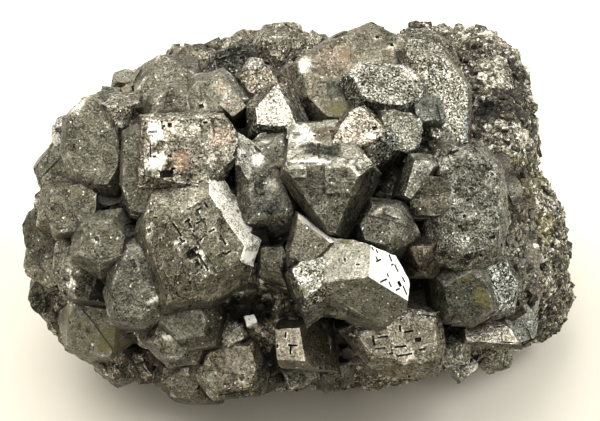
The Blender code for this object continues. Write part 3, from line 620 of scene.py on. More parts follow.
@dataclass(frozen=True)
class Mass:
    """A rounded, squarish mass of the specimen.

    Attributes:
        half_widths: Half widths along X, Y and Z, in millimetres.
        middle: Its middle, in millimetres.
        squareness: 2 is an ellipsoid, more is squarer.
        swelling: Height of its swellings, in millimetres.
    """

    half_widths: tuple[float, float, float]
    middle: tuple[float, float, float]
    squareness: float
    swelling: float

    def reach(self, direction: Vector) -> float:
        """Measure how far the mass reaches from its middle.

        Args:
            direction: The direction, of length 1.

        Returns:
            The distance to its surface, in millimetres.
        """
        total = sum(
            abs(part / half) ** self.squareness
            for part, half in zip(direction, self.half_widths)
        )
        return total ** (-1 / self.squareness)

    def depth(self, point: Vector) -> float:
        """Return how far a point lies under the surface, less than zero outside."""
        away = point - Vector(self.middle)
        return self.reach(away.normalized()) - away.length

    def surface(self, direction: Vector) -> Vector:
        """Return the swollen surface's point in a direction from the middle."""
        place = Vector(self.middle) + direction * self.reach(direction)
        return place + direction * self.swelling * noise.noise(place / SWELL_SIZE)


SWELL_SIZE = 10.0
GALENA_MASSES = (
    Mass((47, 38, 29), (-5, -2, 33), 2.3, 1.4),
    Mass((22, 18, 20), (24, -14, 40), 2.4, 1.4),
    Mass((17, 17, 19), (33, -18, 30), 2.4, 1.4),
)
MATRIX_MASSES = (
    Mass((50, 33, 20), (5, 3.5, 14), 2.3, 2.4),
    Mass((17.4, 27.2, 25.4), (32.6, 9, 33.8), 3.8, 2.0),
    Mass((15, 23, 18.5), (41.8, -1, 19.6), 2.4, 2.4),
    Mass((12, 11, 10.5), (-42, -15.5, 18.5), 2.4, 1.2),
    Mass((9, 12, 8.5), (49.8, -7, 12.5), 2.2, 1.6),
)


# The range of a share or of a chance number, and the range that most of a noise lies in
UNIT = (0.0, 1.0)
NOISE_SPAN = (0.3, 0.7)
# The middle of a chance colour
CHANCE_MIDDLE = (0.5, 0.5, 0.5)
# Height of a bump, as a share of its grain's width
GRAIN_HEIGHT = 0.8


def linear(hex_colour: str) -> tuple[float, float, float, float]:
    """Turn an sRGB hex colour into linear red, green, blue and alpha.

    Args:
        hex_colour: The colour, such as "8f8a80".

    Returns:
        The linear colour, opaque.
    """
    channels = [int(hex_colour[at : at + 2], 16) / 255 for at in (0, 2, 4)]
    red, green, blue = (
        part / 12.92 if part <= 0.04045 else ((part + 0.055) / 1.055) ** 2.4
        for part in channels
    )
    return red, green, blue, 1.0


class Graph:
    """Builds the node tree of a material or of the room's light."""

    def __init__(self, tree: Tree) -> None:
        """Start on a tree."""
        self.tree = tree

    def link(self, source: Socket, target: Socket) -> None:
        """Link an output socket to an input socket."""
        self.tree.links.new(source, target)

    def add(self, kind: str, settings: dict, **links) -> bpy.types.Node:
        """Add a shader node, set it up and link its inputs.

        Args:
            kind: The node's type name, without ShaderNode in front.
            settings: Properties by name, and input values by input name or number.
            **links: Output sockets to link in, by input name, or by i and the input's number.

        Returns:
            The new node.
        """
        node = self.tree.nodes.new("ShaderNode" + kind)
        for name, value in settings.items():
            if isinstance(name, str) and hasattr(node, name):
                setattr(node, name, value)
            else:
                node.inputs[name].default_value = value
        for name, socket in links.items():
            key = int(name[1:]) if name[0] == "i" and name[1:].isdigit() else name
            self.link(socket, node.inputs[key])
        return node

    def maths(
        self, operation: str, first: Socket, second: Socket | float, third: Socket | None = None
    ) -> Socket:
        """Reckon with numbers.

        Args:
            operation: What is reckoned, such as MULTIPLY.
            first: The first number's socket.
            second: The second number, or its socket.
            third: The third number's socket, where the operation takes one.

        Returns:
            The result's socket.
        """
        sockets = {"i0": first}
        settings: dict = {"operation": operation}
        if isinstance(second, float):
            settings[1] = second
        else:
            sockets["i1"] = second
        if third is not None:
            sockets["i2"] = third
        return self.add("Math", settings, **sockets).outputs[0]

    def ranged(
        self, value: Socket, start: tuple[float, float], end: tuple[float, float]
    ) -> Socket:
        """Map a value from a starting range to an end range, held inside it.

        Args:
            value: The value's socket.
            start: The range that the value comes from.
            end: The range that it is mapped to.

        Returns:
            The mapped value's socket.
        """
        ends = {"From Min": start[0], "From Max": start[1], "To Min": end[0], "To Max": end[1]}
        return self.add("MapRange", ends, Value=value).outputs["Result"]

    def swung(self, value: Socket, start: tuple[float, float], gain: float) -> Socket:
        """Map a value's range to the range from less to more than zero by the gain."""
        return self.ranged(value, start, (-gain, gain))

    def noise_of(
        self, place: Socket, scale: float, detail: float, roughness: float,
        distortion: float = 0.0,
    ) -> bpy.types.Node:
        """Add a noise pattern.

        Args:
            place: The pattern's place, in millimetres.
            scale: How many features there are in a millimetre.
            detail: How many finer noises are added to it.
            roughness: How strong each of these is.
            distortion: How far it is bent.

        Returns:
            The noise node.
        """
        settings = {
            "Scale": scale, "Detail": detail, "Roughness": roughness, "Distortion": distortion,
        }
        return self.add("TexNoise", settings, Vector=place)

    def ramp(self, value: Socket, stops: Iterable[tuple[float, str]]) -> Socket:
        """Turn a value into a colour.

        Args:
            value: The value's socket.
            stops: Pairs of place and hex colour.

        Returns:
            The colour's socket.
        """
        node = self.add("ValToRGB", {}, Fac=value)
        elements = node.color_ramp.elements
        for number, (place, colour) in enumerate(stops):
            stop = elements[number] if number < len(elements) else elements.new(place)
            stop.position = place
            stop.color = linear(colour)
        return node.outputs["Color"]

    def mixed(
        self, blend: str, share: Socket | float, under: Socket, over: Socket | str
    ) -> Socket:
        """Lay one colour over another.

        Args:
            blend: How they are blended, such as MIX.
            share: How much of the upper colour is laid on, or its socket.
            under: The lower colour's socket.
            over: The upper colour's socket or hex colour.

        Returns:
            The blended colour's socket.
        """
        settings: dict = {"blend_type": blend}
        sockets = {"Color1": under}
        if isinstance(share, float):
            settings["Fac"] = share
        else:
            sockets["Fac"] = share
        if isinstance(over, str):
            settings["Color2"] = linear(over)
        else:
            sockets["Color2"] = over
        return self.add("MixRGB", settings, **sockets).outputs["Color"]

    def bumped(self, height: Socket, strength: float, grain: float) -> Socket:
        """Return the normal of a bumpy surface with grains of a size in millimetres."""
        settings = {"Strength": strength, "Distance": grain * MM * GRAIN_HEIGHT}
        return self.add("Bump", settings, Height=height).outputs["Normal"]

    def tilted(self, normal: Socket, chance: Socket, amount: float) -> Socket:
        """Tilt a normal by a chance colour, so that each small cell mirrors its own way.

        Args:
            normal: The normal to tilt.
            chance: A chance colour that is the same all over a cell.
            amount: Greatest tilt along each axis, as a share of the normal's length.

        Returns:
            The tilted normal.
        """
        settings = {"operation": "SUBTRACT", 1: CHANCE_MIDDLE}
        centred = self.add("VectorMath", settings, i0=chance).outputs[0]
        settings = {"operation": "MULTIPLY_ADD", 1: (2 * amount,) * 3}
        moved = self.add("VectorMath", settings, i0=centred, i2=normal).outputs[0]
        return self.add("VectorMath", {"operation": "NORMALIZE"}, i0=moved).outputs[0]

    def attribute(self, name: str, output: str = "Fac") -> Socket:
        """Return the output of a named attribute of the mesh."""
        return self.add("Attribute", {"attribute_name": name}).outputs[output]

    def summed(self, *sockets: Socket) -> Socket:
        """Add up several numbers.

        Args:
            *sockets: The numbers' sockets.

        Returns:
            The sum's socket.
        """
        total = sockets[0]
        for socket in sockets[1:]:
            total = self.maths("ADD", total, socket)
        return total


def new_material(name: str) -> tuple[bpy.types.Material, Graph, bpy.types.Node]:
    """Start a node material.

    Args:
        name: The material's name.

    Returns:
        The material, the builder of its node tree, and its shader.
    """
    material = bpy.data.materials.new(name)
    material.use_nodes = True
    return material, Graph(material.node_tree), material.node_tree.nodes["Principled BSDF"]


@dataclass(frozen=True)
class GalenaFinish:
    """Tarnished lead sulphide: a metal whose film of tarnish dulls it to a warm grey.

    Attributes:
        name: The material's name.
        tones: Colours from the darkest painted shade through dull film to the brightest cleavage,
            whose near-white end is painted glare, with their places.
        casts: Colour casts from bluish to pinkish, with their places.
        films: Colours of the iron-brown and olive film that lies on it in blotches.
        shade_and_grime: Colour of the painted shade and grime in the hollows.
        rough: Roughness of bright cleavage and of dull film.
        grain: Size of the finest etching, in millimetres. The real one is finer, and this is
            drawn coarser so that it still shows from a step away.
        step_scales: How many cleavage steps there are in a millimetre, coarse and fine.
        relief: Strength of the etched bumps.
        tilt: How far the etched facets tilt, as a share of the normal.
        clouds, etch, speckle, rims: How much the broad clouds, the finest etching, the small cells
            and the rims, partly worn edges and partly painted highlight, change the brightness.
        glints: Chance of single cells that glint and of more that are eaten dark: the channel
            that it is drawn from, the limit, and what it adds to the brightness.
        clean: Brightness at which clean cleavage, painted as white glare, starts and at which it is
            complete.
        deep: Brightness under which the film is gone, so that the painted shade of the hollows
            stays dark, and from which it is whole.
        metallic: How metallic a bare face is, and one under film, painted shade and grime, or
            painted white glare.
        shade_and_grime_kept: Share of the painted shade and grime that stays on dull and on clean
            faces.
        smooth: Brightness at which a face is roughest and at which it is smoothest.
        cells: How many small cells go to a grain's width.
        step_height: Height of a cleavage step beside the finest etching's.
        blotches: Span of the noise over which blotches of stain set in, and their most.
        rags: Span of the noise over which laid film sets in, and its least.
        held: Share of the film that dull and clean faces hold.
    """

    name: str
    tones: tuple[tuple[float, str], ...]
    casts: tuple[tuple[float, str], ...]
    films: tuple[tuple[float, str], ...]
    shade_and_grime: str
    rough: tuple[float, float]
    grain: float
    step_scales: tuple[float, float]
    relief: float
    tilt: float
    clouds: float = 0.09
    etch: float = 0.16
    speckle: float = 0.34
    rim_highlights: float = 0.34
    glints: tuple[tuple[str, float, float], ...] = (
        ("Green", 0.993, 0.45), ("Blue", 0.90, -0.20),
    )
    clean: tuple[float, float] = (0.68, 0.92)
    deep: tuple[float, float] = (-0.2, 0.25)
    metallic: tuple[float, float] = (0.92, 0.2)
    shade_and_grime_kept: tuple[float, float] = (1.0, 0.3)
    smooth: tuple[float, float] = (0.2, 0.95)
    cells: float = 1.15
    step_height: float = 0.7
    blotches: tuple[float, float, float] = (0.42, 0.62, 0.9)
    rags: tuple[float, float, float] = (0.4, 0.55, 0.45)
    held: tuple[float, float] = (0.85, 0.05)

    def material(self) -> bpy.types.Material:
        """Build the node material.

        Returns:
            The material, which reads the attributes that a crystal is dressed with.
        """
        material, graph, shader = new_material(self.name)
        place = graph.attribute("place", "Vector")
        sparkle = graph.add("TexVoronoi", {"Scale": self.cells / self.grain}, Vector=place)
        chance = graph.add("SeparateColor", {}, Color=sparkle.outputs["Color"])
        fine = graph.noise_of(place, 1 / self.grain, detail=2.0, roughness=0.7).outputs["Fac"]
        steps, levels = self.cleavage(graph, place)
        tone = self.tone(graph, place, fine, steps, chance)
        bright = graph.ranged(tone, self.clean, UNIT)
        deep = graph.ranged(tone, self.deep, UNIT)
        film = graph.maths("MULTIPLY", self.film_share(graph, place, bright), deep)
        hue = graph.attribute("hue")
        cast = graph.mixed(
            "MULTIPLY", 1.0, graph.ramp(tone, self.tones), graph.ramp(hue, self.casts)
        )
        stained = graph.mixed("MIX", film, cast, graph.ramp(hue, self.films))
        # Clean cleavage, painted as white glare, sheds most of the painted shade and grime that
        # dull faces hold
        shade_and_grime_kept = graph.ranged(bright, UNIT, self.shade_and_grime_kept)
        shade_and_grime = graph.maths("MULTIPLY", graph.attribute("shade_and_grime"), shade_and_grime_kept)
        with_shade_and_grime = graph.mixed("MIX", shade_and_grime, stained, self.shade_and_grime)
        rough = graph.ranged(tone, self.smooth, (self.rough[1], self.rough[0]))
        # Film, painted shade and grime, and the painted white glare of clean cleavage all hide the
        # metal's mirror
        matt = graph.summed(film, shade_and_grime, bright)
        metal = graph.ranged(matt, UNIT, self.metallic)
        height = graph.maths("MULTIPLY_ADD", levels, self.step_height, fine)
        bump = graph.bumped(height, self.relief, self.grain)
        graph.link(with_shade_and_grime, shader.inputs["Base Color"])
        graph.link(rough, shader.inputs["Roughness"])
        graph.link(metal, shader.inputs["Metallic"])
        facets = graph.tilted(bump, sparkle.outputs["Color"], self.tilt)
        graph.link(facets, shader.inputs["Normal"])
        return material

    def tone(
        self, graph: Graph, place: Socket, fine: Socket, steps: Socket, chance: bpy.types.Node
    ) -> Socket:
        """Work out how bright each point is, from 0 dull to 1 bright.

        Args:
            graph: The builder of the node tree.
            place: The pattern's place, in millimetres.
            fine: The finest etching.
            steps: What the cleavage steps add.
            chance: Three chance numbers for each small cell.

        Returns:
            The brightness.
        """
        blotch = graph.noise_of(place, scale=0.3, detail=3.0, roughness=0.6).outputs["Fac"]
        cloud = graph.swung(blotch, NOISE_SPAN, self.clouds)
        etched = graph.swung(fine, NOISE_SPAN, self.etch)
        speckled = graph.swung(chance.outputs["Red"], UNIT, self.speckle)
        gritty = graph.maths("MULTIPLY", graph.summed(etched, speckled), graph.attribute("grit"))
        stepped = graph.maths("MULTIPLY", steps, graph.attribute("steps"))
        rim_highlight = graph.maths("MULTIPLY", graph.attribute("rim_highlight"), self.rim_highlights)
        glints = []
        for channel, limit, gain in self.glints:
            chosen = graph.maths("GREATER_THAN", chance.outputs[channel], limit)
            glints.append(graph.maths("MULTIPLY", chosen, gain))
        return graph.summed(
            graph.attribute("shade"), graph.attribute("glow"), cloud, stepped, gritty,
            *glints, rim_highlight,
        )

    def cleavage(self, graph: Graph, place: Socket) -> tuple[Socket, Socket]:
        """Draw the low square steps along which the crystal cleaves.

        Args:
            graph: The builder of the node tree.
            place: The pattern's place, in millimetres along the crystal's own axes.

        Returns:
            What the steps add to the brightness, and their height from 0 to 1.
        """
        wobble = graph.noise_of(place, scale=0.8, detail=2.0, roughness=0.6).outputs["Color"]
        settings = {"operation": "MULTIPLY_ADD", 1: (STEP_BEND,) * 3}
        bent = graph.add("VectorMath", settings, i0=wobble, i2=place).outputs[0]
        parts = []
        heights = []
        for scale, tone_gain, line_gain, width in zip(self.step_scales, *STEP_GAINS):
            shaped = {"distance": "CHEBYCHEV", "Scale": scale, "Randomness": STEP_CHANCE}
            near = graph.add("TexVoronoi", shaped, Vector=bent)
            second = graph.add("TexVoronoi", {"feature": "F2", **shaped}, Vector=bent)
            level = graph.add("SeparateColor", {}, Color=near.outputs["Color"])
            apart = graph.maths("SUBTRACT", second.outputs["Distance"], near.outputs["Distance"])
            line = graph.ranged(apart, (width, 2 * width), (1.0, 0.0))
            # A step shows as a painted line of shade on its far side and as a painted highlight
            # where it faces up; the cell's chance number picks which
            gains = (-line_gain, line_gain * BRIGHT_LINE)
            sign = graph.ranged(level.outputs["Green"], LINE_CHANCE, gains)
            parts.append(graph.maths("MULTIPLY", line, sign))
            parts.append(graph.swung(level.outputs["Red"], UNIT, tone_gain))
            heights.append(level.outputs["Red"])
        return graph.summed(*parts), graph.summed(*heights)

    def film_share(self, graph: Graph, place: Socket, bright: Socket) -> Socket:
        """Work out how much film covers each point.

        Args:
            graph: The builder of the node tree.
            place: The pattern's place, in millimetres.
            bright: How clean and bright the point is, its painted white glare included.

        Returns:
            The film's share, from 0 to 1.
        """
        broad = graph.noise_of(
            place, scale=0.55, detail=5.0, roughness=0.7, distortion=0.6
        ).outputs["Fac"]
        first, last, most = self.blotches
        blotches = graph.ranged(broad, (first, last), (0.0, most))
        narrow = graph.noise_of(place, scale=1.3, detail=4.0, roughness=0.7).outputs["Fac"]
        first, last, least = self.rags
        ragged = graph.ranged(narrow, (first, last), (least, 1.0))
        laid = graph.maths("MULTIPLY", ragged, graph.attribute("film"))
        spread = graph.maths("MULTIPLY_ADD", blotches, graph.attribute("stain"), laid)
        clean = graph.ranged(bright, UNIT, self.held)
        settings = {"operation": "MULTIPLY", "use_clamp": True}
        return graph.add("Math", settings, i0=spread, i1=clean).outputs[0]


@dataclass(frozen=True)
class RockFinish:
    """Granular rock: dull brown and grey grains with the glitter of fine ore among them, its glints
    painted as near-white grains.

    Attributes:
        name: The material's name.
        tones: Colours of the grains, with their places from dark to pale.
        films: Colours of the earthy film, from olive to brown, with their places.
        shade_and_grime: Colour of the painted shade and grime in the hollows.
        ore: Colour of the bright grains, a near-white that paints the ore's glints.
        grain: Size of one grain, in millimetres.
        glitter: Share of the grains that are bright ore, painted as glints, from 0 to 1.
        relief: Strength of the bumps.
        tilt: How far the grains' faces tilt, as a share of the normal.
        clouds, speckle, dust: How much the broad clouds, the grains and the dust between them
            change the brightness.
        calm: How much of the grains' contrast is left under the earthy film.
        metallic: How metallic it is.
        rough: Roughness of the grains and of the bright ore.
        ore_tones: Brightness up to which there is no ore, and at which there is most.
        specks: How many specks of dust go to a grain's width.
        bulge: Height of a grain beside the dust's, less than zero as it is measured inwards.
    """

    name: str
    tones: tuple[tuple[float, str], ...]
    films: tuple[tuple[float, str], ...]
    shade_and_grime: str
    ore: str
    grain: float
    glitter: float
    relief: float
    tilt: float
    clouds: float = 0.30
    speckle: float = 0.34
    dust: float = 0.38
    calm: float = 0.25
    metallic: float = 0.25
    rough: tuple[float, float] = (0.65, 0.3)
    ore_tones: tuple[float, float] = (0.35, 0.75)
    specks: float = 2.2
    bulge: float = -0.8

    def material(self) -> bpy.types.Material:
        """Build the node material.

        Returns:
            The material, which reads the attributes that the rock is dressed with.
        """
        material, graph, shader = new_material(self.name)
        place = graph.attribute("place", "Vector")
        blotch = graph.noise_of(place, scale=0.16, detail=5.0, roughness=0.65).outputs["Fac"]
        cells = graph.add("TexVoronoi", {"Scale": 1 / self.grain}, Vector=place)
        specks = graph.noise_of(place, self.specks / self.grain, detail=3.0, roughness=0.7)
        dust = specks.outputs["Fac"]
        chance = graph.add("SeparateColor", {}, Color=cells.outputs["Color"])
        cloud = graph.swung(blotch, NOISE_SPAN, self.clouds)
        speckled = graph.swung(chance.outputs["Red"], UNIT, self.speckle)
        dusty = graph.swung(dust, NOISE_SPAN, self.dust)
        # Earthy film fills the gaps between the grains and evens out their tones
        calm = graph.ranged(graph.attribute("film"), UNIT, (1.0, self.calm))
        grainy = graph.maths("MULTIPLY", graph.summed(speckled, dusty), calm)
        tone = graph.summed(graph.attribute("shade"), graph.attribute("glow"), cloud, grainy)
        # The painted glints of ore sit in clusters, and hardly any where the rock is dark
        cluster = graph.ranged(tone, self.ore_tones, (1.0, 1 - 2 * self.glitter))
        bright = graph.maths("GREATER_THAN", chance.outputs["Green"], cluster)
        filmed = graph.mixed(
            "MULTIPLY", graph.attribute("film"), graph.ramp(tone, self.tones),
            graph.ramp(graph.attribute("hue"), self.films),
        )
        with_ore = graph.mixed("MIX", bright, filmed, self.ore)
        with_shade_and_grime = graph.mixed("MIX", graph.attribute("shade_and_grime"), with_ore, self.shade_and_grime)
        rough = graph.ranged(bright, UNIT, self.rough)
        height = graph.maths("MULTIPLY_ADD", cells.outputs["Distance"], self.bulge, dust)
        bump = graph.bumped(height, self.relief, self.grain)
        graph.link(with_shade_and_grime, shader.inputs["Base Color"])
        graph.link(rough, shader.inputs["Roughness"])
        shader.inputs["Metallic"].default_value = self.metallic
        facets = graph.tilted(bump, cells.outputs["Color"], self.tilt)
        graph.link(facets, shader.inputs["Normal"])
        return material


# The tone gain, the line gain and the line width of the coarse and of the fine cleavage steps
STEP_GAINS = ((0.13, 0.08), (0.34, 0.20), (0.045, 0.05))
# How far the steps bend, in millimetres, and how far they are from a regular grid
STEP_BEND = 0.9
STEP_CHANCE = 0.85
# Chance numbers between which a step's line goes from painted shade to painted highlight, and how
# strong the highlight is beside the shade
LINE_CHANCE = (0.25, 0.75)
BRIGHT_LINE = 0.9
TARNISHED_GALENA = GalenaFinish(
    "tarnished_galena",
    ((0.02, "0f0e0b"), (0.2, "3d3c34"), (0.4, "67655a"), (0.62, "9a978b"), (0.8, "cbc8bd"),
     (0.95, "fdfbf6")),
    ((0.0, "d6e2f0"), (0.5, "fdfefb"), (1.0, "fde6da")),
    ((0.0, "66602c"), (0.5, "625b42"), (1.0, "886a4c")),
    "12100b", (0.20, 0.42), 0.36, (0.28, 0.8), 0.7, 0.14,
)
GRANULAR_ROCK = RockFinish(
    "granular_sulphide_rock",
    ((0.0, "14130d"), (0.2, "3c392c"), (0.45, "79745f"), (0.68, "a8a38e"), (0.92, "efece1")),
    ((0.0, "dcd89a"), (0.5, "e0d3a0"), (1.0, "f0dcb8")),
    "14120b", "fbf9f2", 0.50, 0.13, 0.8, 0.4,
)


# What the faces carry: brightness, film, and how strongly etching and cleavage steps show
FACE_LAYERS = ("shade", "stain", "grit", "steps")
# Colour cast of plain galena and rock
NEUTRAL_HUE = 0.5


def new_shape() -> Shape:
    """Start an empty shape.

    Returns:
        The shape, with the layers that the materials read.
    """
    shape = bmesh.new()
    for name in FACE_LAYERS:
        shape.faces.layers.float.new(name)
    shape.faces.layers.int.new("side")
    for name in ("shade_and_grime", "rim_highlight", "hue", "glow", "film"):
        shape.verts.layers.float.new(name)
    shape.verts.layers.float_vector.new("place")
    return shape


def set_faces(shape: Shape, *values: float) -> None:
    """Give every face the same shade, stain, grit and steps, or the first few of them.

    Args:
        shape: The shape.
        *values: What the faces get, in that order.
    """
    for name, value in zip(FACE_LAYERS, values):
        layer = shape.faces.layers.float[name]
        for face in shape.faces:
            face[layer] = value


# Faces that meet at less than this angle are shaded as one
CREASE = math.radians(14)


class Batch:
    """Gathers many shapes in one mesh and turns them into a finished piece."""

    def __init__(self, name: str, node: str, slot: str, material: bpy.types.Material) -> None:
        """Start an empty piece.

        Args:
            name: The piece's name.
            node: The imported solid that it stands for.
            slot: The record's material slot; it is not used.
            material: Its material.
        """
        self.name = name
        self.node = node
        self.slot = slot
        self.material = material
        self.shape = new_shape()
        self.scratch = bpy.data.meshes.new(name + "_scratch")

    def add(self, shape: Shape) -> None:
        """Add a shape to the piece.

        Args:
            shape: The shape in millimetres, which is freed.
        """
        shape.to_mesh(self.scratch)
        shape.free()
        self.shape.from_mesh(self.scratch)

    def finish(self) -> bpy.types.Object:
        """Returns:
            The finished object, at the origin and unturned.
        """
        low, high = (Vector(corner) for corner in CAD_BOX)
        shape = self.shape
        shape.transform(Matrix.Scale(MM, 4) @ Matrix.Translation(BOX_SHIFT))
        for vert in shape.verts:
            vert.co = [min(max(part, least), most) for part, least, most in zip(vert.co, low, high)]
        shape.normal_update()
        for face in shape.faces:
            face.smooth = True
        for edge in shape.edges:
            edge.smooth = edge.calc_face_angle(math.pi) < CREASE
        mesh = bpy.data.meshes.new(self.name)
        shape.to_mesh(mesh)
        shape.free()
        bpy.data.meshes.remove(self.scratch)
        mesh.materials.append(self.material)
        thing = bpy.data.objects.new(self.name, mesh)
        bpy.context.scene.collection.objects.link(thing)
        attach(thing, ROOT)
        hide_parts(self.node)
        mesh.calc_loop_triangles()
        LOG.info("%s: %d triangles", self.name, len(mesh.loop_triangles))
        return thing


@dataclass(frozen=True)
class ShadeAndGrime:
    """Painted shade, with some real grime, where little open air reaches: sheltered points are
    darkened.

    Attributes:
        reach: How far away a neighbour still shelters a point, in millimetres.
        spread: How wide the looks round a point fan out, as a share of the outward one.
        clean: Sheltered share up to which a point gets no painted shade or grime.
        full: Sheltered share from which it is wholly covered.
        most: Most that the painted shade and grime cover.
        far: How much less a neighbour at the full reach shelters than one that touches.
        lift: How far off the surface a look starts, in millimetres.
    """

    reach: float = 8.0
    spread: float = 0.9
    clean: float = 0.28
    full: float = 0.80
    most: float = 0.92
    far: float = 0.6
    lift: float = 0.06

    def settle(self, batches: list[Batch]) -> None:
        """Work out how sheltered each point is, by looking around from it.

        Args:
            batches: The pieces that shelter each other. Their painted shade and grime is filled in.
        """
        whole = bmesh.new()
        scratch = bpy.data.meshes.new("shade_and_grime_scratch")
        for batch in batches:
            batch.shape.normal_update()
            batch.shape.to_mesh(scratch)
            whole.from_mesh(scratch)
        bpy.data.meshes.remove(scratch)
        tree = BVHTree.FromBMesh(whole)
        whole.free()
        looks = [look * self.spread for look in CORNER_SIDES]
        for batch in batches:
            shade_and_grime = batch.shape.verts.layers.float["shade_and_grime"]
            for vert in batch.shape.verts:
                normal = vert.normal
                start = vert.co + normal * self.lift
                hidden = 0.0
                for look in looks:
                    distance = tree.ray_cast(start, normal + look, self.reach)[3]
                    if distance is not None:
                        hidden += 1 - self.far * distance / self.reach
                share = (hidden / len(looks) - self.clean) / (self.full - self.clean)
                # The sheltered share becomes painted shade and grime in the colour
                vert[shade_and_grime] = min(max(share, 0.0), 1.0) * self.most


# A cube that every block fits in, corners that are one, and how near a side a point lies on it,
# all in millimetres
BLANK = 120
SAME_CORNER = 0.02
ON_SIDE = 0.03


@dataclass
class Block:
    """A convex block along a crystal's own axes.

    Attributes:
        sides: Outward direction of each side and its distance from the crystal's middle.
    """

    sides: list[tuple[Vector, float]]

    def shape(self) -> Shape:
        """Cut the block out of a cube.

        Returns:
            The closed shape, each face marked with the number of its side.
        """
        shape = new_shape()
        bmesh.ops.create_cube(shape, size=BLANK)
        for normal, reach in self.sides:
            if max(vert.co.dot(normal) for vert in shape.verts) <= reach:
                continue
            everything = shape.verts[:] + shape.edges[:] + shape.faces[:]
            bmesh.ops.bisect_plane(
                shape, geom=everything, plane_co=normal * reach, plane_no=normal, clear_outer=True
            )
            open_edges = [edge for edge in shape.edges if edge.is_boundary]
            bmesh.ops.contextual_create(shape, geom=open_edges)
            if not shape.verts:
                return shape
        bmesh.ops.remove_doubles(shape, verts=shape.verts, dist=SAME_CORNER)
        bmesh.ops.recalc_face_normals(shape, faces=shape.faces)
        side = shape.faces.layers.int["side"]
        count = range(len(self.sides))
        for face in shape.faces:
            face[side] = max(count, key=lambda at: face.normal.dot(self.sides[at][0]))
        return shape

    def holds(self, point: Vector, margin: float) -> bool:
        """Say whether a point lies inside the block by more than a margin."""
        return all(point.dot(normal) < reach - margin for normal, reach in self.sides)

    def touched(self, point: Vector) -> list[Vector]:
        """Return the outward directions of the sides that a point lies on."""
        return [normal for normal, reach in self.sides if point.dot(normal) > reach - ON_SIDE]


def cut_cube(half: float, cut: float) -> Block:
    """Return a cube with cut corners.

    Args:
        half: Its half width.
        cut: How far the corners are cut: 3 leaves the cube whole, 1 an octahedron.

    Returns:
        The block.
    """
    reach = cut * half / math.sqrt(3)
    return Block([(side, half) for side in CUBE_SIDES] + [(side, reach) for side in CORNER_SIDES])


def chance_turn(dice: random.Random) -> Matrix:
    """Return a chance turn about the Z and the X axis."""
    turn = Matrix.Rotation(dice.uniform(0, math.tau), 4, "Z")
    return turn @ Matrix.Rotation(dice.uniform(0, math.tau), 4, "X")


def side_axes(normal: Vector) -> tuple[Vector, Vector]:
    """Find the directions along which a side is parted and etched.

    Args:
        normal: The side's outward direction.

    Returns:
        Two directions on the side, square to each other.
    """
    if abs(normal.z) > UPRIGHT:
        first = (Vector((1, 0, 0)) - normal * normal.x).normalized()
    else:
        first = normal.cross(Vector((0, 0, 1))).normalized()
    return first, normal.cross(first)


@dataclass(frozen=True)
class Growth:
    """How the terraces on a crystal's sides vary.

    Attributes:
        rises: Least and greatest height, as a share of the surface's terrace height.
        plays: Least and greatest step out from the neighbouring sides, in millimetres.
        root: How deep a plate reaches under its side, in millimetres.
        room: Narrowest side on which a plate ends in a wall, in millimetres.
        walls: First and last place of such a wall, as shares of the side's width.
        crowding: How much nearer the last place comes with each plate on the side.
        wall_counts: Numbers of walls, of which one is drawn.
        tones: Greatest difference in brightness between a plate and its crystal.
        clean: Brightness from which a side is clean cleavage, without terraces.
    """

    rises: tuple[float, float] = (0.6, 1.2)
    plays: tuple[float, float] = (-0.14, 0.08)
    root: float = 1.2
    room: float = 1.5
    walls: tuple[float, float] = (0.2, 0.75)
    crowding: float = 0.1
    wall_counts: tuple[int, ...] = (1, 2, 2)
    tones: float = 0.07
    clean: float = 0.9


@dataclass(frozen=True)
class Etching:
    """How the pits vary.

    Attributes:
        widest: Greatest width of a chance pit, as a share of the shortest pit side.
        levels: Levels of a chance pit, of which one is drawn.
        fewest: Fewest cells of a side that is pitted.
        deepest: Most levels that are sunk.
        depths: Least and greatest depth of a level, as a share of the surface's.
        shade: How bright the planned pits are, painted nearly black as the shade in them.
        chance_pit_shade: How much darker than their side the chance pits are painted, as the shade
            in them.
        rim_highlights: Least and greatest painted highlight along the brink.
    """

    widest: float = 1.8
    levels: tuple[int, ...] = (1, 1, 2)
    fewest: int = 6
    deepest: int = 4
    depths: tuple[float, float] = (0.7, 1.2)
    shade: float = 0.12
    chance_pit_shade: float = 0.12
    rim_highlights: tuple[float, float] = (-0.3, 1.3)


@dataclass(frozen=True)
class Wear:
    """How the faces swell and the edges are worn. Rates count changes in a millimetre.

    Attributes:
        swells: Rate of each size of swelling, and its share of the surface's swell.
        plate_rate: Rate of the crust's ragged plates.
        waver: Rate at which a plate's outline wavers, and how far it does.
        plate_glow: How much brighter a millimetre higher crust is.
        worn: Rate of the edges' wear, and what is added to it.
        chipped: Rate of the chips, what is taken off them, and their depth.
        rim_highlight: Rate of the painted highlight along the edges, its strength, and what is
            added to it.
    """

    swells: tuple[tuple[float, float], ...] = ((0.33, 1.0), (1.3, 0.18), (2.9, 0.09))
    plate_rate: float = 0.5
    waver: tuple[float, float] = (1.7, 0.25)
    plate_glow: float = 0.4
    worn: tuple[float, float] = (0.9, 0.25)
    chipped: tuple[float, float, float] = (0.25, 0.25, 2.5)
    rim_highlight: tuple[float, float, float] = (0.5, 1.5, 0.1)


GROWTH = Growth()
ETCHING = Etching()
WEAR = Wear()

# Sides that face less far out than this, as a cosine, stay plain
OPEN_SIDE = -0.1
# How much of a block may be buried in the core before its cells are left whole, in millimetres
BURIED = 0.05
# Cosine beyond which a direction counts as up or down
UPRIGHT = 0.95
DOWNWARD = -0.9
# Shift of the pattern from one crystal to the next, in millimetres, so that no two look the same
PATTERN_STEP = (17.3, 7.9, 3.1)
# Chance colour casts, and the brightness of sides that no table gives
CHANCE_HUES = (0.35, 0.65)
PLAIN_SHADE = 0.35
# How far the plate's number of the Voronoi pattern is stretched for its chance height
PLATE_CHANCE = 5.3


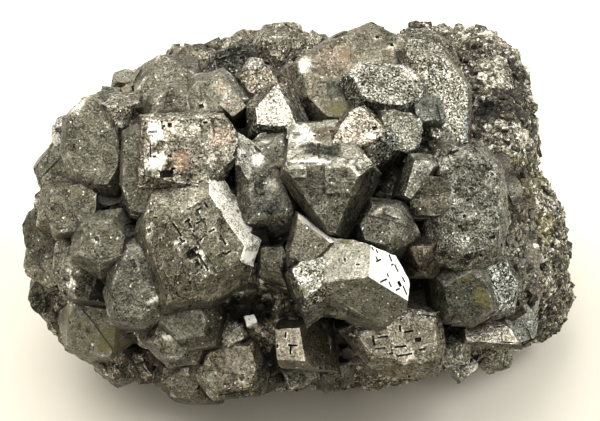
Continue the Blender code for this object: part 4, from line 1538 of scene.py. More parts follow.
class Crystal:
    """One crystal: a core, its terraces and its ledges, pitted and worn."""

    def __init__(
        self, name: str, core: Block, shades: list[float], stain: float, surface: Surface,
        matrix: Matrix, number: int,
    ) -> None:
        """Prepare a crystal.

        Args:
            name: The crystal's name.
            core: Its main block.
            shades: How bright each side is.
            stain: How much film it has.
            surface: The kind of surface that it has.
            matrix: The matrix that puts it in its place, in millimetres.
            number: Its number, which sets its chance features and its pattern's place.
        """
        self.name = name
        self.core = core
        self.shades = shades
        self.stain = stain
        self.relief: Relief = surface.value
        self.matrix = matrix
        self.dice = random.Random(number)
        self.pattern_shift = Vector([number * part for part in PATTERN_STEP])
        self.turn = matrix.to_3x3()
        self.core_shape = core.shape()
        middle = sum((vert.co for vert in self.core_shape.verts), Vector())
        self.middle = middle / len(self.core_shape.verts)
        outward = (matrix @ self.middle - HEART).normalized()
        self.open_sides = [
            at for at, (side, _) in enumerate(core.sides)
            if (self.turn @ side).dot(outward) > OPEN_SIDE
        ]
        self.pits: list[tuple[Vector, float, float, int]] = []
        self.hue = HUES.get(name, self.dice.uniform(*CHANCE_HUES))

    def spans(self, side: int) -> list[tuple[float, float]]:
        """Measure a side of the core along its two axes.

        Args:
            side: The side's number.

        Returns:
            The first and the last place along each axis.
        """
        layer = self.core_shape.faces.layers.int["side"]
        points = [
            vert.co for face in self.core_shape.faces if face[layer] == side for vert in face.verts
        ]
        found = []
        for axis in side_axes(self.core.sides[side][0]):
            places = [point.dot(axis) for point in points] or [0.0]
            found.append((min(places), max(places)))
        return found

    def ledge(self, shift: Vector, share: float) -> Block:
        """Return a smaller crystal grown in step with this one.

        Args:
            shift: Its shift, as shares of the core's half width.
            share: Its size, as a share of the core's.

        Returns:
            The smaller block.
        """
        middle = shift * self.core.sides[0][1]
        return Block([
            (normal, reach * share + middle.dot(normal)) for normal, reach in self.core.sides
        ])

    def terrace(self, side: int, step: int) -> Block | None:
        """Return a raised plate that covers part of one side.

        Args:
            side: The side that it lies on.
            step: Its number on that side. A later one is higher and smaller.

        Returns:
            The plate, nearly flush with the neighbouring sides, or None where it has no room.
        """
        normal, reach = self.core.sides[side]
        rise = self.relief.rise * (step + 1) * self.dice.uniform(*GROWTH.rises)
        sides = [
            (other, level + self.dice.uniform(*GROWTH.plays)) for other, level in self.core.sides
        ]
        sides[side] = (normal, reach + rise)
        sides.append((-normal, GROWTH.root - reach))
        axes = side_axes(normal)
        spans = self.spans(side)
        chosen = self.dice.sample((0, 1), self.dice.choice(GROWTH.wall_counts))
        for at in chosen:
            least, most = spans[at]
            if most - least < GROWTH.room:
                return None
            first, last = GROWTH.walls
            share = self.dice.uniform(first, last - GROWTH.crowding * step)
            wall = least + (most - least) * share
            if self.dice.random() < 0.5:
                sides.append((axes[at], wall))
            else:
                sides.append((-axes[at], -(most + least - wall)))
        return Block(sides)

    def blocks(self) -> list[Block]:
        """Lay out the crystal's blocks.

        Returns:
            The core, the ledges and the terraces.
        """
        found = [self.core]
        for name, shift, share in LEDGES:
            if name == self.name:
                found.append(self.ledge(Vector(shift), share))
        counts = dict.fromkeys(self.open_sides, 0)
        for _ in range(self.relief.terraces):
            side = self.dice.choice(self.open_sides)
            block = self.terrace(side, counts[side])
            if block and self.shades[side] < GROWTH.clean:
                counts[side] += 1
                found.append(block)
        return found

    def slice_open_sides(self, shape: Shape, block: Block) -> None:
        """Part the open sides of a block into square cells.

        Args:
            shape: The block's shape.
            block: The block.
        """
        layer = shape.faces.layers.int["side"]
        pitch = self.relief.pitch
        for face in list(shape.faces):
            at = face[layer]
            own_side = at if at < len(self.core.sides) else None
            if own_side is not None and own_side not in self.open_sides:
                continue
            if block is not self.core and self.core.holds(face.calc_center_median(), BURIED):
                continue
            normal = block.sides[at][0]
            if own_side is None and normal.z < DOWNWARD:
                continue
            for axis in side_axes(normal):
                places = [vert.co.dot(axis) for cell in shape.faces if cell[layer] == at
                          for vert in cell.verts]
                least, most = min(places), max(places)
                count = int((most - least) / pitch)
                for number in range(1, count):
                    offset = least + number * (most - least) / count
                    geometry = set()
                    for cell in shape.faces:
                        if cell[layer] == at:
                            geometry.add(cell)
                            geometry.update(cell.edges)
                            geometry.update(cell.verts)
                    bmesh.ops.bisect_plane(
                        shape, geom=list(geometry), plane_co=axis * offset, plane_no=axis
                    )

    def pit_plan(self, side: int) -> Callable[[Vector], int]:
        """Lay out a side's pits.

        Args:
            side: The side that is pitted.

        Returns:
            A function that tells how many levels deep a point of that side is eaten.
        """
        axes = side_axes(self.core.sides[side][0])
        spans = self.spans(side)
        # In square centimetres, as the surfaces count their pits
        area = (spans[0][1] - spans[0][0]) * (spans[1][1] - spans[1][0]) / 100
        longest, shortest = self.relief.pit_size
        pits = []
        along = self.dice.randrange(2)
        for _ in range(int(area * self.relief.pits + self.dice.random())):
            centre = [self.dice.uniform(*span) for span in spans]
            size = [
                self.dice.uniform(shortest, longest),
                self.dice.uniform(shortest, shortest * ETCHING.widest),
            ]
            if along:
                size.reverse()
            pits.append((centre, size, self.dice.choice(ETCHING.levels)))
        if side == 0:
            for place, width, height, levels in self.pits:
                pits.append(([place.dot(axis) for axis in axes], [width, height], levels))

        def levels_at(point: Vector) -> int:
            """Tell how many levels deep a point is eaten.

            Args:
                point: The point, along the crystal's own axes.

            Returns:
                The number of levels, 0 where there is no pit.
            """
            deepest = 0
            for centre, size, levels in pits:
                inside = all(
                    abs(point.dot(axis) - middle) < width / 2
                    for axis, middle, width in zip(axes, centre, size)
                )
                if inside:
                    deepest = max(deepest, levels)
            return deepest

        return levels_at

    def sink_pits(self, shape: Shape, block: Block) -> None:
        """Sink square-walled pits in the cells of the open sides, painting shade in them and
        highlights along their brinks.

        Args:
            shape: The block's shape, parted into cells.
            block: The block.
        """
        layer = shape.faces.layers.int["side"]
        shade = shape.faces.layers.float["shade"]
        rim_highlight = shape.verts.layers.float["rim_highlight"]
        for at in self.open_sides:
            cells = [
                face for face in shape.faces
                if face[layer] == at
                and all(other[layer] == at for edge in face.edges for other in edge.link_faces)
            ]
            if len(cells) < ETCHING.fewest:
                continue
            levels_at = self.pit_plan(at)
            planned = at == 0 and bool(self.pits)
            # Pit floors and walls are painted as shade: planned pits nearly black, chance pits a
            # little darker than their side
            darker = ETCHING.shade - self.shades[at] if planned else -ETCHING.chance_pit_shade
            for level in range(1, ETCHING.deepest + 1):
                chosen = [face for face in cells if levels_at(face.calc_center_median()) >= level]
                if not chosen:
                    break
                brinks = {
                    vert for cell in chosen for edge in cell.edges
                    if any(other not in chosen for other in edge.link_faces)
                    for vert in edge.verts
                }
                grown = bmesh.ops.extrude_face_region(shape, geom=chosen)["geom"]
                bmesh.ops.delete(shape, geom=chosen, context="FACES")
                corners = [part for part in grown if isinstance(part, bmesh.types.BMVert)]
                depth = self.relief.pit_depth * self.dice.uniform(*ETCHING.depths)
                bmesh.ops.translate(shape, vec=block.sides[at][0] * -depth, verts=corners)
                cells = [part for part in grown if isinstance(part, bmesh.types.BMFace)]
                for face in {face for vert in corners for face in vert.link_faces}:
                    face[shade] = darker
                # Painted highlight along the brink
                for vert in brinks:
                    vert[rim_highlight] = self.dice.uniform(*ETCHING.rim_highlights)

    def wear(self, shape: Shape, block: Block) -> None:
        """Wear the edges back, paint highlights along them, and give the faces their unevenness.

        Args:
            shape: The block's shape, parted into cells.
            block: The block.
        """
        rim_highlight = shape.verts.layers.float["rim_highlight"]
        glow = shape.verts.layers.float["glow"]
        relief = self.relief
        for vert in shape.verts:
            touched = block.touched(vert.co)
            seed = vert.co + self.pattern_shift
            for rate, share in WEAR.swells:
                vert.co += noise.noise_vector(seed * rate) * relief.swell * share
            if len(touched) == 1 and relief.crust:
                waver_rate, waver = WEAR.waver
                ragged = seed * WEAR.plate_rate + noise.noise_vector(seed * waver_rate) * waver
                plate = noise.noise(noise.voronoi(ragged)[1][0] * PLATE_CHANCE)
                vert.co += touched[0] * relief.crust * plate
                vert[glow] = relief.crust * plate * WEAR.plate_glow
            if len(touched) > 1:
                inward = -sum(touched, Vector()).normalized()
                rate, added = WEAR.worn
                worn = max(noise.noise(seed * rate) + added, 0.0)
                rate, less, depth = WEAR.chipped
                chip = max(noise.noise(seed * rate) - less, 0.0) * depth
                vert.co += inward * relief.wear * (worn + chip)
                rate, strength, added = WEAR.rim_highlight
                vert[rim_highlight] = max(added + strength * noise.noise(seed * rate), 0.0)

    def dress(self, shape: Shape) -> None:
        """Put a block's shape in its place and fill in the layers that the material reads.

        Args:
            shape: The shape, pitted and worn.
        """
        side = shape.faces.layers.int["side"]
        shade, stain, grit, steps = (shape.faces.layers.float[name] for name in FACE_LAYERS)
        hue = shape.verts.layers.float["hue"]
        place = shape.verts.layers.float_vector["place"]
        for face in shape.faces:
            face[grit] = self.relief.grit
            face[steps] = self.relief.steps
            own = face[side] < len(self.shades)
            face[shade] += self.shades[face[side]] if own else PLAIN_SHADE
            face[stain] = self.stain
        for vert in shape.verts:
            vert[place] = vert.co + self.pattern_shift
            vert[hue] = self.hue
        shape.transform(self.matrix)
        lay_patches(shape, self.name)

    def build(self, batch: Batch) -> None:
        """Model the crystal.

        Args:
            batch: The piece that it is joined into.
        """
        play = 0.0
        for block in self.blocks():
            shape = block.shape()
            # Nothing is left of a plate that its neighbours cut away
            if len(shape.faces) < 4:
                shape.free()
                continue
            self.slice_open_sides(shape, block)
            self.sink_pits(shape, block)
            self.wear(shape, block)
            shade = shape.faces.layers.float["shade"]
            for face in shape.faces:
                face[shade] += play
            play = self.dice.uniform(-GROWTH.tones, GROWTH.tones)
            self.dress(shape)
            batch.add(shape)
        self.core_shape.free()


# How far a chance shade strays from its crystal's, and what the number of its draw is times
SHADE_PLAY = 0.10
SHADE_SEED = 7
# Lean of the walls round a cut crystal, in degrees, how much darker than its facet a wall is,
# and how bright the hidden back is
WALL_LEAN = 86
WALL_DULLING = 0.06
BACK_SHADE = 0.3


def corner_to_front() -> Matrix:
    """Turn a cube so that its corner comes to the front and its Z axis is upright.

    Returns:
        The turn.
    """
    turn = Vector((1, 1, 1)).rotation_difference(Vector((0, 0, 1))).to_matrix()
    lean = turn @ Vector((0, 0, 1))
    upright = Matrix.Rotation(math.pi / 2 - math.atan2(lean.y, lean.x), 3, "Z")
    return upright @ turn


def face_turn(right: float, rise: float, spin: float) -> Matrix:
    """Return the turn of a face in the show frame.

    Args:
        right: How far it is turned to the right, in degrees.
        rise: How far it is turned up, in degrees.
        spin: How far it is spun about its own normal, in degrees.

    Returns:
        The turn.
    """
    turn = Matrix.Rotation(math.radians(right), 3, "Y")
    turn = turn @ Matrix.Rotation(math.radians(-rise), 3, "X")
    return turn @ Matrix.Rotation(math.radians(spin), 3, "Z")


def seed_crystal(seed: Seed, matrix: Matrix, number: int) -> Crystal:
    """Return the crystal of a seed, with a chance shade for each side.

    Args:
        seed: Its sizes and surface.
        matrix: The matrix that puts it in its place.
        number: Its number.

    Returns:
        The crystal, ready to build.
    """
    core = cut_cube(seed.half, seed.cut)
    dice = random.Random(number * SHADE_SEED)
    shades = [seed.shade + dice.uniform(-SHADE_PLAY, SHADE_PLAY) for _ in core.sides]
    return Crystal(seed.name, core, shades, seed.stain, seed.surface, matrix, number)


def seed_matrix(seed: Seed) -> Matrix:
    """Put a crystal of the show side in its place.

    Args:
        seed: Its place and turn.

    Returns:
        The matrix that does so, in millimetres.
    """
    turn = face_turn(seed.right, seed.rise, seed.spin)
    front = Vector((0, 0, 1))
    depth = seed.half
    if seed.facing is Facing.CORNER:
        turn = turn @ corner_to_front()
        front = Vector((1, 1, 1)).normalized()
        depth = seed.cut * seed.half / math.sqrt(3)
    place = SHOW_CENTRE + SHOW_FRAME @ Vector((seed.across, seed.up, seed.out))
    middle = place - SHOW_FRAME @ (turn @ front) * depth
    return Matrix.Translation(middle) @ (SHOW_FRAME @ turn).to_4x4()


def pixel_of(point: Vector) -> tuple[float, float]:
    """Return the photograph's pixel in which a point is seen.

    Args:
        point: The point, in millimetres.

    Returns:
        Pixels from the photograph's left edge and from its top edge.
    """
    shown = SHOW_FRAME.transposed() @ (point - SHOW_CENTRE)
    scale = VIEW_SCALE / (VIEW_DISTANCE - shown.z)
    return VIEW_MIDDLE[0] + shown.x * scale, VIEW_MIDDLE[1] - shown.y * scale


def lay_patches(shape: Shape, name: str) -> None:
    """Lay patches on a shape.

    Args:
        shape: The shape, in its place and in millimetres.
        name: The name of the crystal that it is, or ground or rock.
    """
    patches = PATCHES.get(name, ())
    if not patches:
        return
    glow, film, hue = (shape.verts.layers.float[layer] for layer in ("glow", "film", "hue"))
    for vert in shape.verts:
        x, y = pixel_of(vert.co)
        for patch in patches:
            share = patch.share(x, y)
            vert[glow] += patch.glow * share
            vert[film] += patch.film * share
            vert[hue] += (patch.hue - vert[hue]) * share


def seen_at(x: float, y: float, point: Vector, normal: Vector) -> Vector:
    """Return where a pixel of the photograph sees a plane, in the show frame.

    Args:
        x: Pixels from the photograph's left edge.
        y: Pixels from its top edge.
        point: A point of the plane, in the show frame.
        normal: The plane's direction.

    Returns:
        The point that is seen.
    """
    across = (x - VIEW_MIDDLE[0]) / VIEW_SCALE
    up = (VIEW_MIDDLE[1] - y) / VIEW_SCALE
    ray = Vector((across, up, -1))
    eye = Vector((0, 0, VIEW_DISTANCE))
    return eye + ray * (normal.dot(point - eye) / normal.dot(ray))


def cut_crystal(cut: Cut, number: int) -> Crystal:
    """Return a crystal that is cut to its front face's outline.

    Args:
        cut: Its outline and surface.
        number: Its number.

    Returns:
        The crystal, ready to build.
    """
    turn = face_turn(cut.right, cut.rise, cut.spin)
    normal = turn @ Vector((0, 0, 1))
    middle_x = sum(corner[0] for corner in cut.corners) / len(cut.corners)
    middle_y = sum(corner[1] for corner in cut.corners) / len(cut.corners)
    front = seen_at(middle_x, middle_y, Vector((0, 0, cut.out)), Vector((0, 0, 1)))
    back_turn = turn.transposed()

    def on_face(x: float, y: float) -> Vector:
        """Return where a pixel of the photograph sees the front face, on its own axes."""
        return back_turn @ (seen_at(x, y, front, normal) - front)

    corners = [on_face(corner[0], corner[1]) for corner in cut.corners]
    sides = [(Vector((0, 0, 1)), 0.0)]
    shades = [cut.shade]
    lean = math.radians(WALL_LEAN)
    for at, (_, _, tilt, width, shade) in enumerate(cut.corners):
        here, there = corners[at], corners[(at + 1) % len(corners)]
        along = (there - here).normalized()
        away = Vector((along.y, -along.x, 0))
        if away.dot((here + there) / 2) < 0:
            away = -away
        angle = math.radians(tilt)
        facet = away * math.sin(angle) + Vector((0, 0, math.cos(angle)))
        sides.append((facet, facet.dot(here)))
        shades.append(shade)
        foot = here + away * width * math.cos(angle) - Vector((0, 0, width * math.sin(angle)))
        wall = away * math.sin(lean) + Vector((0, 0, math.cos(lean)))
        sides.append((wall, wall.dot(foot)))
        shades.append(shade - WALL_DULLING)
    sides.append((Vector((0, 0, -1)), cut.depth))
    shades.append(BACK_SHADE)
    place = SHOW_CENTRE + SHOW_FRAME @ front
    matrix = Matrix.Translation(place) @ (SHOW_FRAME @ turn).to_4x4()
    crystal = Crystal(cut.name, Block(sides), shades, cut.stain, cut.surface, matrix, number)
    for x, y, width, height, levels in PITS.get(cut.name, ()):
        crystal.pits.append((on_face(x, y), width, height, levels))
    return crystal


@dataclass
class CrystalCluster:
    """The big crystals of the show side and those round the back.

    Attributes:
        material: What they are made of.
        back_rings: Rings round the back: height, count, first and last bearing in degrees.
        back_half_widths: Least and greatest half width of a crystal there, in millimetres.
        back_cuts: Least and greatest cut of its corners.
        back_sink: How far it is sunk in the mass, as a share of its half width.
        back_tone: Brightness and film of the crystals there.
        back_seed: Number that sets their chance.
        first_numbers: First number of the placed, of the cut and of the back crystals.
        batches: The pieces, one for each group of crystals.
    """

    material: bpy.types.Material
    back_rings: tuple[tuple[float, int, float, float], ...] = (
        (30, 9, 62, 196), (42, 3, 66, 112), (42, 2, 178, 192), (51, 3, 75, 126),
    )
    back_half_widths: tuple[float, float] = (5.0, 7.6)
    back_cuts: tuple[float, float] = (1.7, 2.6)
    back_sink: float = 0.5
    back_tone: tuple[float, float] = (0.38, 0.35)
    back_seed: int = 11
    first_numbers: tuple[int, int, int] = (1, 101, 201)
    batches: list[Batch] = field(default_factory=list)

    def build(self) -> None:
        """Build every crystal."""
        pieces = {
            group: Batch(group.value, GALENA_NODE, "galena", self.material) for group in Group
        }
        for number, seed in enumerate(SEEDS, self.first_numbers[0]):
            seed_crystal(seed, seed_matrix(seed), number).build(pieces[seed.group])
        for number, cut in enumerate(CUTS, self.first_numbers[1]):
            cut_crystal(cut, number).build(pieces[cut.group])
        self.build_back(pieces[BACK])
        self.batches.extend(pieces.values())

    def build_back(self, piece: Batch) -> None:
        """Build the crystals round the back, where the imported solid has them.

        Args:
            piece: The piece that they are joined into.
        """
        dice = random.Random(self.back_seed)
        mass = GALENA_MASSES[0]
        number = self.first_numbers[2]
        for height, count, first, last in self.back_rings:
            for step in range(count):
                bearing = math.radians(first + (last - first) * step / (count - 1))
                level = (height - mass.middle[2]) / mass.half_widths[2]
                round_share = (1 - abs(level) ** mass.squareness) ** (1 / mass.squareness)
                direction = Vector((math.cos(bearing), math.sin(bearing), 0))
                place = Vector(mass.middle) + direction * mass.reach(direction) * round_share
                place.z = height
                half = dice.uniform(*self.back_half_widths)
                place -= (place - Vector(mass.middle)).normalized() * half * self.back_sink
                turn = chance_turn(dice)
                cut = dice.uniform(*self.back_cuts)
                seed = Seed(
                    f"back_{number}", 0, 0, 0, FACE, 0, 0, 0, half, cut,
                    (ROUGH, STEPPED, SMOOTH)[number % 3], *self.back_tone, BACK,
                )
                matrix = Matrix.Translation(place) @ turn
                seed_crystal(seed, matrix, number).build(piece)
                number += 1


@dataclass(frozen=True)
class Skin:
    """The uneven skin of rounded masses, between and under the things that stand on it.

    Attributes:
        piece: Name of its piece.
        fineness: How finely the skin of each mass is parted.
        lump: Size of the small lumps, in millimetres.
        height: Height of the small lumps, in millimetres.
        shade: Its brightness.
        stain: Its brown film.
        grit, steps: How strongly the finest etching and the cleavage steps show.
        level: Distance from a lump's middle at which the skin is neither raised nor sunk.
        rough: Rate of the finest unevenness, and its share of the lumps' height.
    """

    piece: str
    fineness: tuple[int, ...]
    lump: float
    height: float
    shade: float
    stain: float = 0.5
    grit: float = 0.8
    steps: float = 0.5
    level: float = 0.5
    rough: tuple[float, float] = (1.6, 0.3)

    def cover(self, mass: Mass, fineness: int) -> Shape:
        """Build the closed skin of a mass in millimetres, flat on the floor.

        Args:
            mass: The mass.
            fineness: How often the ball's faces are parted.

        Returns:
            The skin.
        """
        shape = new_shape()
        bmesh.ops.create_icosphere(shape, subdivisions=fineness, radius=1)
        place = shape.verts.layers.float_vector["place"]
        hue = shape.verts.layers.float["hue"]
        rate, share = self.rough
        for vert in shape.verts:
            direction = vert.co.normalized()
            point = mass.surface(direction)
            near = noise.voronoi(point / self.lump)[0][0]
            rough = noise.noise(point * rate) * share
            point += direction * self.height * (self.level - near + rough)
            point.z = max(point.z, 0.0)
            vert[place] = point
            vert[hue] = NEUTRAL_HUE
            vert.co = point
        set_faces(shape, self.shade, self.stain, self.grit, self.steps)
        return shape


@dataclass(frozen=True)
class Scatter:
    """Small crystals or grains strewn over rounded masses.

    Attributes:
        piece: Name of their piece.
        counts: How many are tried on each mass.
        sizes: Least and greatest half width, in millimetres.
        sink: How far a grain is sunk, as a share of its half width.
        shade: Least and greatest brightness.
        stain: Least and greatest stain.
        seed: Number that sets the chance on the first mass.
        cubic: True for little crystals, False for broken grains, by turns from mass to mass.
        kinds: How many different grains there are.
        smallness: The higher, the more of them are small.
        hues: Least and greatest colour cast.
        play: How far a face's brightness strays from its grain's.
        grit: How strongly the finest etching shows.
        cut_share: Share of the little crystals that have cut corners.
        cuts: Least and greatest cut.
        squash: Least and greatest width along each axis, as a share.
        jolts: Least and greatest distance of a broken grain's corner, as a share.
    """

    piece: str
    counts: tuple[int, ...]
    sizes: tuple[float, float]
    sink: tuple[float, float]
    shade: tuple[float, float]
    stain: tuple[float, float]
    seed: int
    cubic: tuple[bool, ...]
    kinds: int = 24
    smallness: int = 3
    hues: tuple[float, float] = (0.3, 0.7)
    play: float = 0.12
    grit: float = 0.5
    cut_share: float = 0.6
    cuts: tuple[float, float] = (1.9, 2.7)
    squash: tuple[float, float] = (0.7, 1.15)
    jolts: tuple[float, float] = (0.75, 1.2)

    def one(self, dice: random.Random, cubic: bool) -> Shape:
        """Make one grain.

        Args:
            dice: The chance that it is made by.
            cubic: Whether it is a little crystal.

        Returns:
            The grain, of about unit half width.
        """
        shape = new_shape()
        if cubic:
            bmesh.ops.create_cube(shape, size=2)
        else:
            bmesh.ops.create_icosphere(shape, subdivisions=1, radius=1)
        if cubic and dice.random() < self.cut_share:
            shape.free()
            shape = cut_cube(1.0, dice.uniform(*self.cuts)).shape()
        squash = [dice.uniform(*self.squash) for _ in range(3)]
        bmesh.ops.scale(shape, vec=squash, verts=shape.verts)
        if not cubic:
            for vert in shape.verts:
                vert.co *= dice.uniform(*self.jolts)
        return shape

    def strew(
        self, batch: Batch, number: int, mass: Mass, keep: Callable[[Vector, float], bool]
    ) -> None:
        """Strew the grains over a mass.

        Args:
            batch: The piece that they are joined into.
            number: The mass's number, from 0.
            mass: The mass.
            keep: Tells whether a grain with this middle and half width is kept.
        """
        dice = random.Random(self.seed + number)
        cubic = self.cubic[number % len(self.cubic)]
        library = [self.one(dice, cubic) for _ in range(self.kinds)]
        for _ in range(self.counts[number]):
            direction = Vector([dice.gauss(0, 1) for _ in range(3)]).normalized()
            least, most = self.sizes
            size = least + (most - least) * dice.random() ** self.smallness
            place = mass.surface(direction) - direction * size * dice.uniform(*self.sink)
            turn = chance_turn(dice)
            shade = dice.uniform(*self.shade)
            stain = dice.uniform(*self.stain)
            kind = dice.randrange(len(library))
            if not keep(place, size):
                continue
            shape = library[kind].copy()
            set_faces(shape, shade, stain, self.grit)
            shade_layer = shape.faces.layers.float["shade"]
            place_layer = shape.verts.layers.float_vector["place"]
            hue_layer = shape.verts.layers.float["hue"]
            hue = dice.uniform(*self.hues)
            for face in shape.faces:
                face[shade_layer] = shade + dice.uniform(-self.play, self.play)
            for vert in shape.verts:
                vert[place_layer] = vert.co * size + place
                vert[hue_layer] = hue
            shape.transform(Matrix.Translation(place) @ turn @ Matrix.Scale(size, 4))
            batch.add(shape)
        for shape in library:
            shape.free()


def clear_of_masses(masses: Iterable[Mass], slack: float) -> Callable[[Vector, float], bool]:
    """Return a test that keeps what isn't buried in other masses or under the floor.

    Args:
        masses: The masses that may bury a grain.
        slack: How far under a mass's surface a grain's middle may still lie, in millimetres.

    Returns:
        The test, which takes a grain's middle and half width.
    """
    masses = list(masses)

    def keep(place: Vector, size: float) -> bool:
        """Say whether a grain is kept.

        Args:
            place: Its middle, in millimetres.
            size: Its half width, in millimetres.

        Returns:
            True where it's neither buried nor under the floor.
        """
        if place.z < size:
            return False
        return all(mass.depth(place) < slack for mass in masses)

    return keep


@dataclass
class Ground:
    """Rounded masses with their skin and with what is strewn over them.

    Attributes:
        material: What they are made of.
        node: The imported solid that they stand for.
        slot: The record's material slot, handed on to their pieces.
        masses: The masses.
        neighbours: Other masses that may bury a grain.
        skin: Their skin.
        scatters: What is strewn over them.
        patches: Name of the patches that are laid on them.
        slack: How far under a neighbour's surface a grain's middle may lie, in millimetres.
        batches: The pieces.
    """

    material: bpy.types.Material
    node: str
    slot: str
    masses: tuple[Mass, ...]
    neighbours: tuple[Mass, ...]
    skin: Skin
    scatters: tuple[Scatter, ...]
    patches: str
    slack: float = 0.5
    batches: list[Batch] = field(default_factory=list)

    def build(self) -> None:
        """Build the skin and what is strewn over it."""
        skin, *strewn = (
            Batch(part.piece, self.node, self.slot, self.material)
            for part in (self.skin, *self.scatters)
        )
        for number, mass in enumerate(self.masses):
            skin.add(self.skin.cover(mass, self.skin.fineness[number]))
            others = self.masses[:number] + self.masses[number + 1 :] + self.neighbours
            keep = clear_of_masses(others, self.slack)
            for batch, scatter in zip(strewn, self.scatters):
                scatter.strew(batch, number, mass, keep)
        self.batches.extend((skin, *strewn))
        for batch in self.batches:
            lay_patches(batch.shape, self.patches)


@dataclass
class GalenaGround(Ground):
    """The galena mass under the big crystals, with the small crystals in its hollows."""

    node: str = GALENA_NODE
    slot: str = "galena"
    masses: tuple[Mass, ...] = GALENA_MASSES
    neighbours: tuple[Mass, ...] = MATRIX_MASSES
    skin: Skin = Skin("galena_mass", (7, 6, 6), lump=2.6, height=1.3, shade=0.28)
    scatters: tuple[Scatter, ...] = (
        Scatter(
            "small_crystals", (900, 225, 180), sizes=(1.0, 3.0), sink=(0.0, 0.5),
            shade=(0.26, 0.5), stain=(0.1, 0.6), seed=100, cubic=(True,),
        ),
        Scatter(
            "druse", (5000, 1250, 1000), sizes=(0.3, 1.0), sink=(0.0, 0.5),
            shade=(0.25, 0.8), stain=(0.1, 0.7), seed=200, cubic=(True,),
        ),
    )
    patches: str = "ground"


@dataclass
class MatrixRock(Ground):
    """The bare granular rock at the right, along the foot and at the lower left."""

    node: str = MATRIX_NODE
    slot: str = "matrix"
    masses: tuple[Mass, ...] = MATRIX_MASSES
    neighbours: tuple[Mass, ...] = GALENA_MASSES
    skin: Skin = Skin("rock", (7, 6, 6, 6, 5), lump=3.2, height=1.8, shade=0.34)
    scatters: tuple[Scatter, ...] = (
        Scatter(
            "rock_lumps", (500, 420, 420, 60, 100), sizes=(1.0, 3.4), sink=(0.4, 0.8),
            shade=(0.28, 0.50), stain=(0, 0), seed=300, cubic=(False,),
        ),
        Scatter(
            "rock_grains", (4200, 3000, 2800, 300, 600), sizes=(0.3, 1.4), sink=(0.0, 0.5),
            shade=(0.0, 0.75), stain=(0, 0), seed=400, cubic=(False, True),
        ),
    )
    patches: str = "rock"


@dataclass(frozen=True)
class SoftLight:
    """A square soft light that looks at the specimen.

    Attributes:
        name: The light's name.
        place: Where it hangs, in metres.
        size: Its side, in metres.
        power: Its power, in watts.
        colour: Its hex colour.
    """

    name: str
    place: tuple[float, float, float]
    size: float
    power: float
    colour: str

    def hang(self) -> None:
        """Hang the light."""
        light = bpy.data.lights.new(self.name, "AREA")
        light.shape = "SQUARE"
        light.size = self.size
        light.energy = self.power
        light.color = linear(self.colour)[:3]
        thing = bpy.data.objects.new(self.name, light)
        thing.location = self.place
        away = Vector(self.place) - AIM
        thing.rotation_euler = away.to_track_quat("Z", "Y").to_euler()
        bpy.context.scene.collection.objects.link(thing)


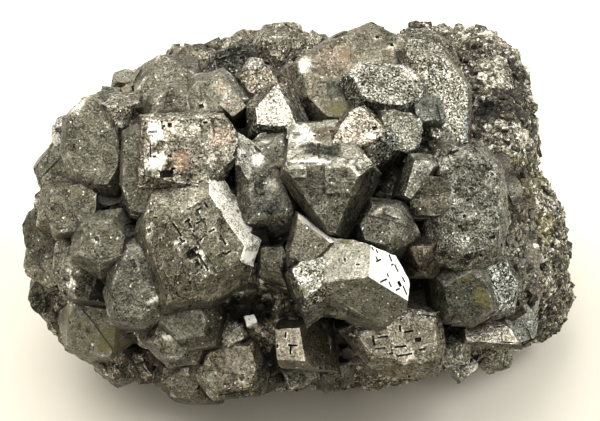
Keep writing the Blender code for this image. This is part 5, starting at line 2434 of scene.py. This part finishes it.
@dataclass(frozen=True)
class Studio:
    """Pale floor, soft light and the camera at the photograph's angle.

    Attributes:
        distance: Camera's distance from its aim, in metres.
        lens: Focal length, in millimetres.
        lift: Share of the frame's width by which the view is moved up.
        sensor: Width of the sensor, in millimetres.
        floor: Half width of the floor, in metres.
        floor_colour: Its hex colour.
        floor_finish: Its roughness and how strongly it shines.
        lights: The lights: one large and above at the left, one far off at the right.
        room_colour: Hex colour of the room's light.
        bright_side: Direction of the bright side of the room.
        room_span: Cosines to the bright side at which the room is darkest and brightest.
        room: Strength of its light there.
    """

    distance: float = 0.6
    lens: float = 166.7
    lift: float = 2.5 / 600
    sensor: float = 36
    floor: float = 4.0
    floor_colour: str = "ddd9ce"
    floor_finish: tuple[float, float] = (0.9, 0.1)
    lights: tuple[SoftLight, ...] = (
        SoftLight("top_light", (-0.24, 0.12, 0.55), size=0.75, power=4.7, colour="fffaf4"),
        SoftLight("right_light", (0.72, 0.10, 0.55), size=0.40, power=4.7, colour="ffffff"),
    )
    room_colour: str = "c8c5bd"
    bright_side: tuple[float, float, float] = (0.42, 0.45, 0.79)
    room_span: tuple[float, float] = (-0.3, 0.95)
    room: tuple[float, float] = (1.0, 2.15)

    def build(self) -> None:
        """Build the floor, the lights and the camera, and show colours as a plain camera does."""
        bpy.context.scene.view_settings.view_transform = "Standard"
        self.build_floor()
        for light in self.lights:
            light.hang()
        self.build_room()
        self.build_camera()

    def build_floor(self) -> None:
        """Lay a plain pale floor."""
        shape = bmesh.new()
        bmesh.ops.create_grid(shape, x_segments=1, y_segments=1, size=self.floor)
        mesh = bpy.data.meshes.new("floor")
        shape.to_mesh(mesh)
        shape.free()
        thing = bpy.data.objects.new("floor", mesh)
        bpy.context.scene.collection.objects.link(thing)
        material, _, shader = new_material("matt_paper")
        shader.inputs["Base Color"].default_value = linear(self.floor_colour)
        roughness, shine = self.floor_finish
        shader.inputs["Roughness"].default_value = roughness
        shader.inputs["Specular IOR Level"].default_value = shine
        mesh.materials.append(material)

    def build_room(self) -> None:
        """Light the room. It is brighter above, behind and at the right, for the metal."""
        world = bpy.data.worlds.new("soft_room")
        world.use_nodes = True
        graph = Graph(world.node_tree)
        background = world.node_tree.nodes["Background"]
        background.inputs["Color"].default_value = linear(self.room_colour)
        look = graph.add("TexCoord", {}).outputs["Generated"]
        settings = {"operation": "DOT_PRODUCT", 1: self.bright_side}
        towards = graph.add("VectorMath", settings, i0=look).outputs["Value"]
        strength = graph.ranged(towards, self.room_span, self.room)
        graph.link(strength, background.inputs["Strength"])
        bpy.context.scene.world = world

    def build_camera(self) -> None:
        """Put the camera at the photograph's angle."""
        data = bpy.data.cameras.new("camera")
        data.sensor_width = self.sensor
        data.lens = self.lens
        data.shift_y = self.lift
        data.dof.use_dof = False
        camera = bpy.data.objects.new("camera", data)
        camera.location = AIM + SHOW_OUT * self.distance
        camera.rotation_euler = SHOW_OUT.to_track_quat("Z", "Y").to_euler()
        bpy.context.scene.collection.objects.link(camera)
        bpy.context.scene.camera = camera


def dress_solids(materials: dict[str, bpy.types.Material]) -> None:
    """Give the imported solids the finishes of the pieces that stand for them.

    Args:
        materials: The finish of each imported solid, by its name.
    """
    for name, material in materials.items():
        for slot in bpy.data.objects[name].material_slots:
            slot.material = material


def main() -> None:
    """Dress the specimen part by part."""
    logging.basicConfig(level=logging.INFO, format="%(message)s")
    noise.seed_set(NOISE_SEED)
    galena = TARNISHED_GALENA.material()
    rock = GRANULAR_ROCK.material()
    Studio().build()
    parts = (MatrixRock(rock), GalenaGround(galena), CrystalCluster(galena))
    for part in parts:
        part.build()
    batches = [batch for part in parts for batch in part.batches]
    ShadeAndGrime().settle(batches)
    for batch in batches:
        batch.finish()
    dress_solids({GALENA_NODE: galena, MATRIX_NODE: rock})


if __name__ == "__main__":
    main()
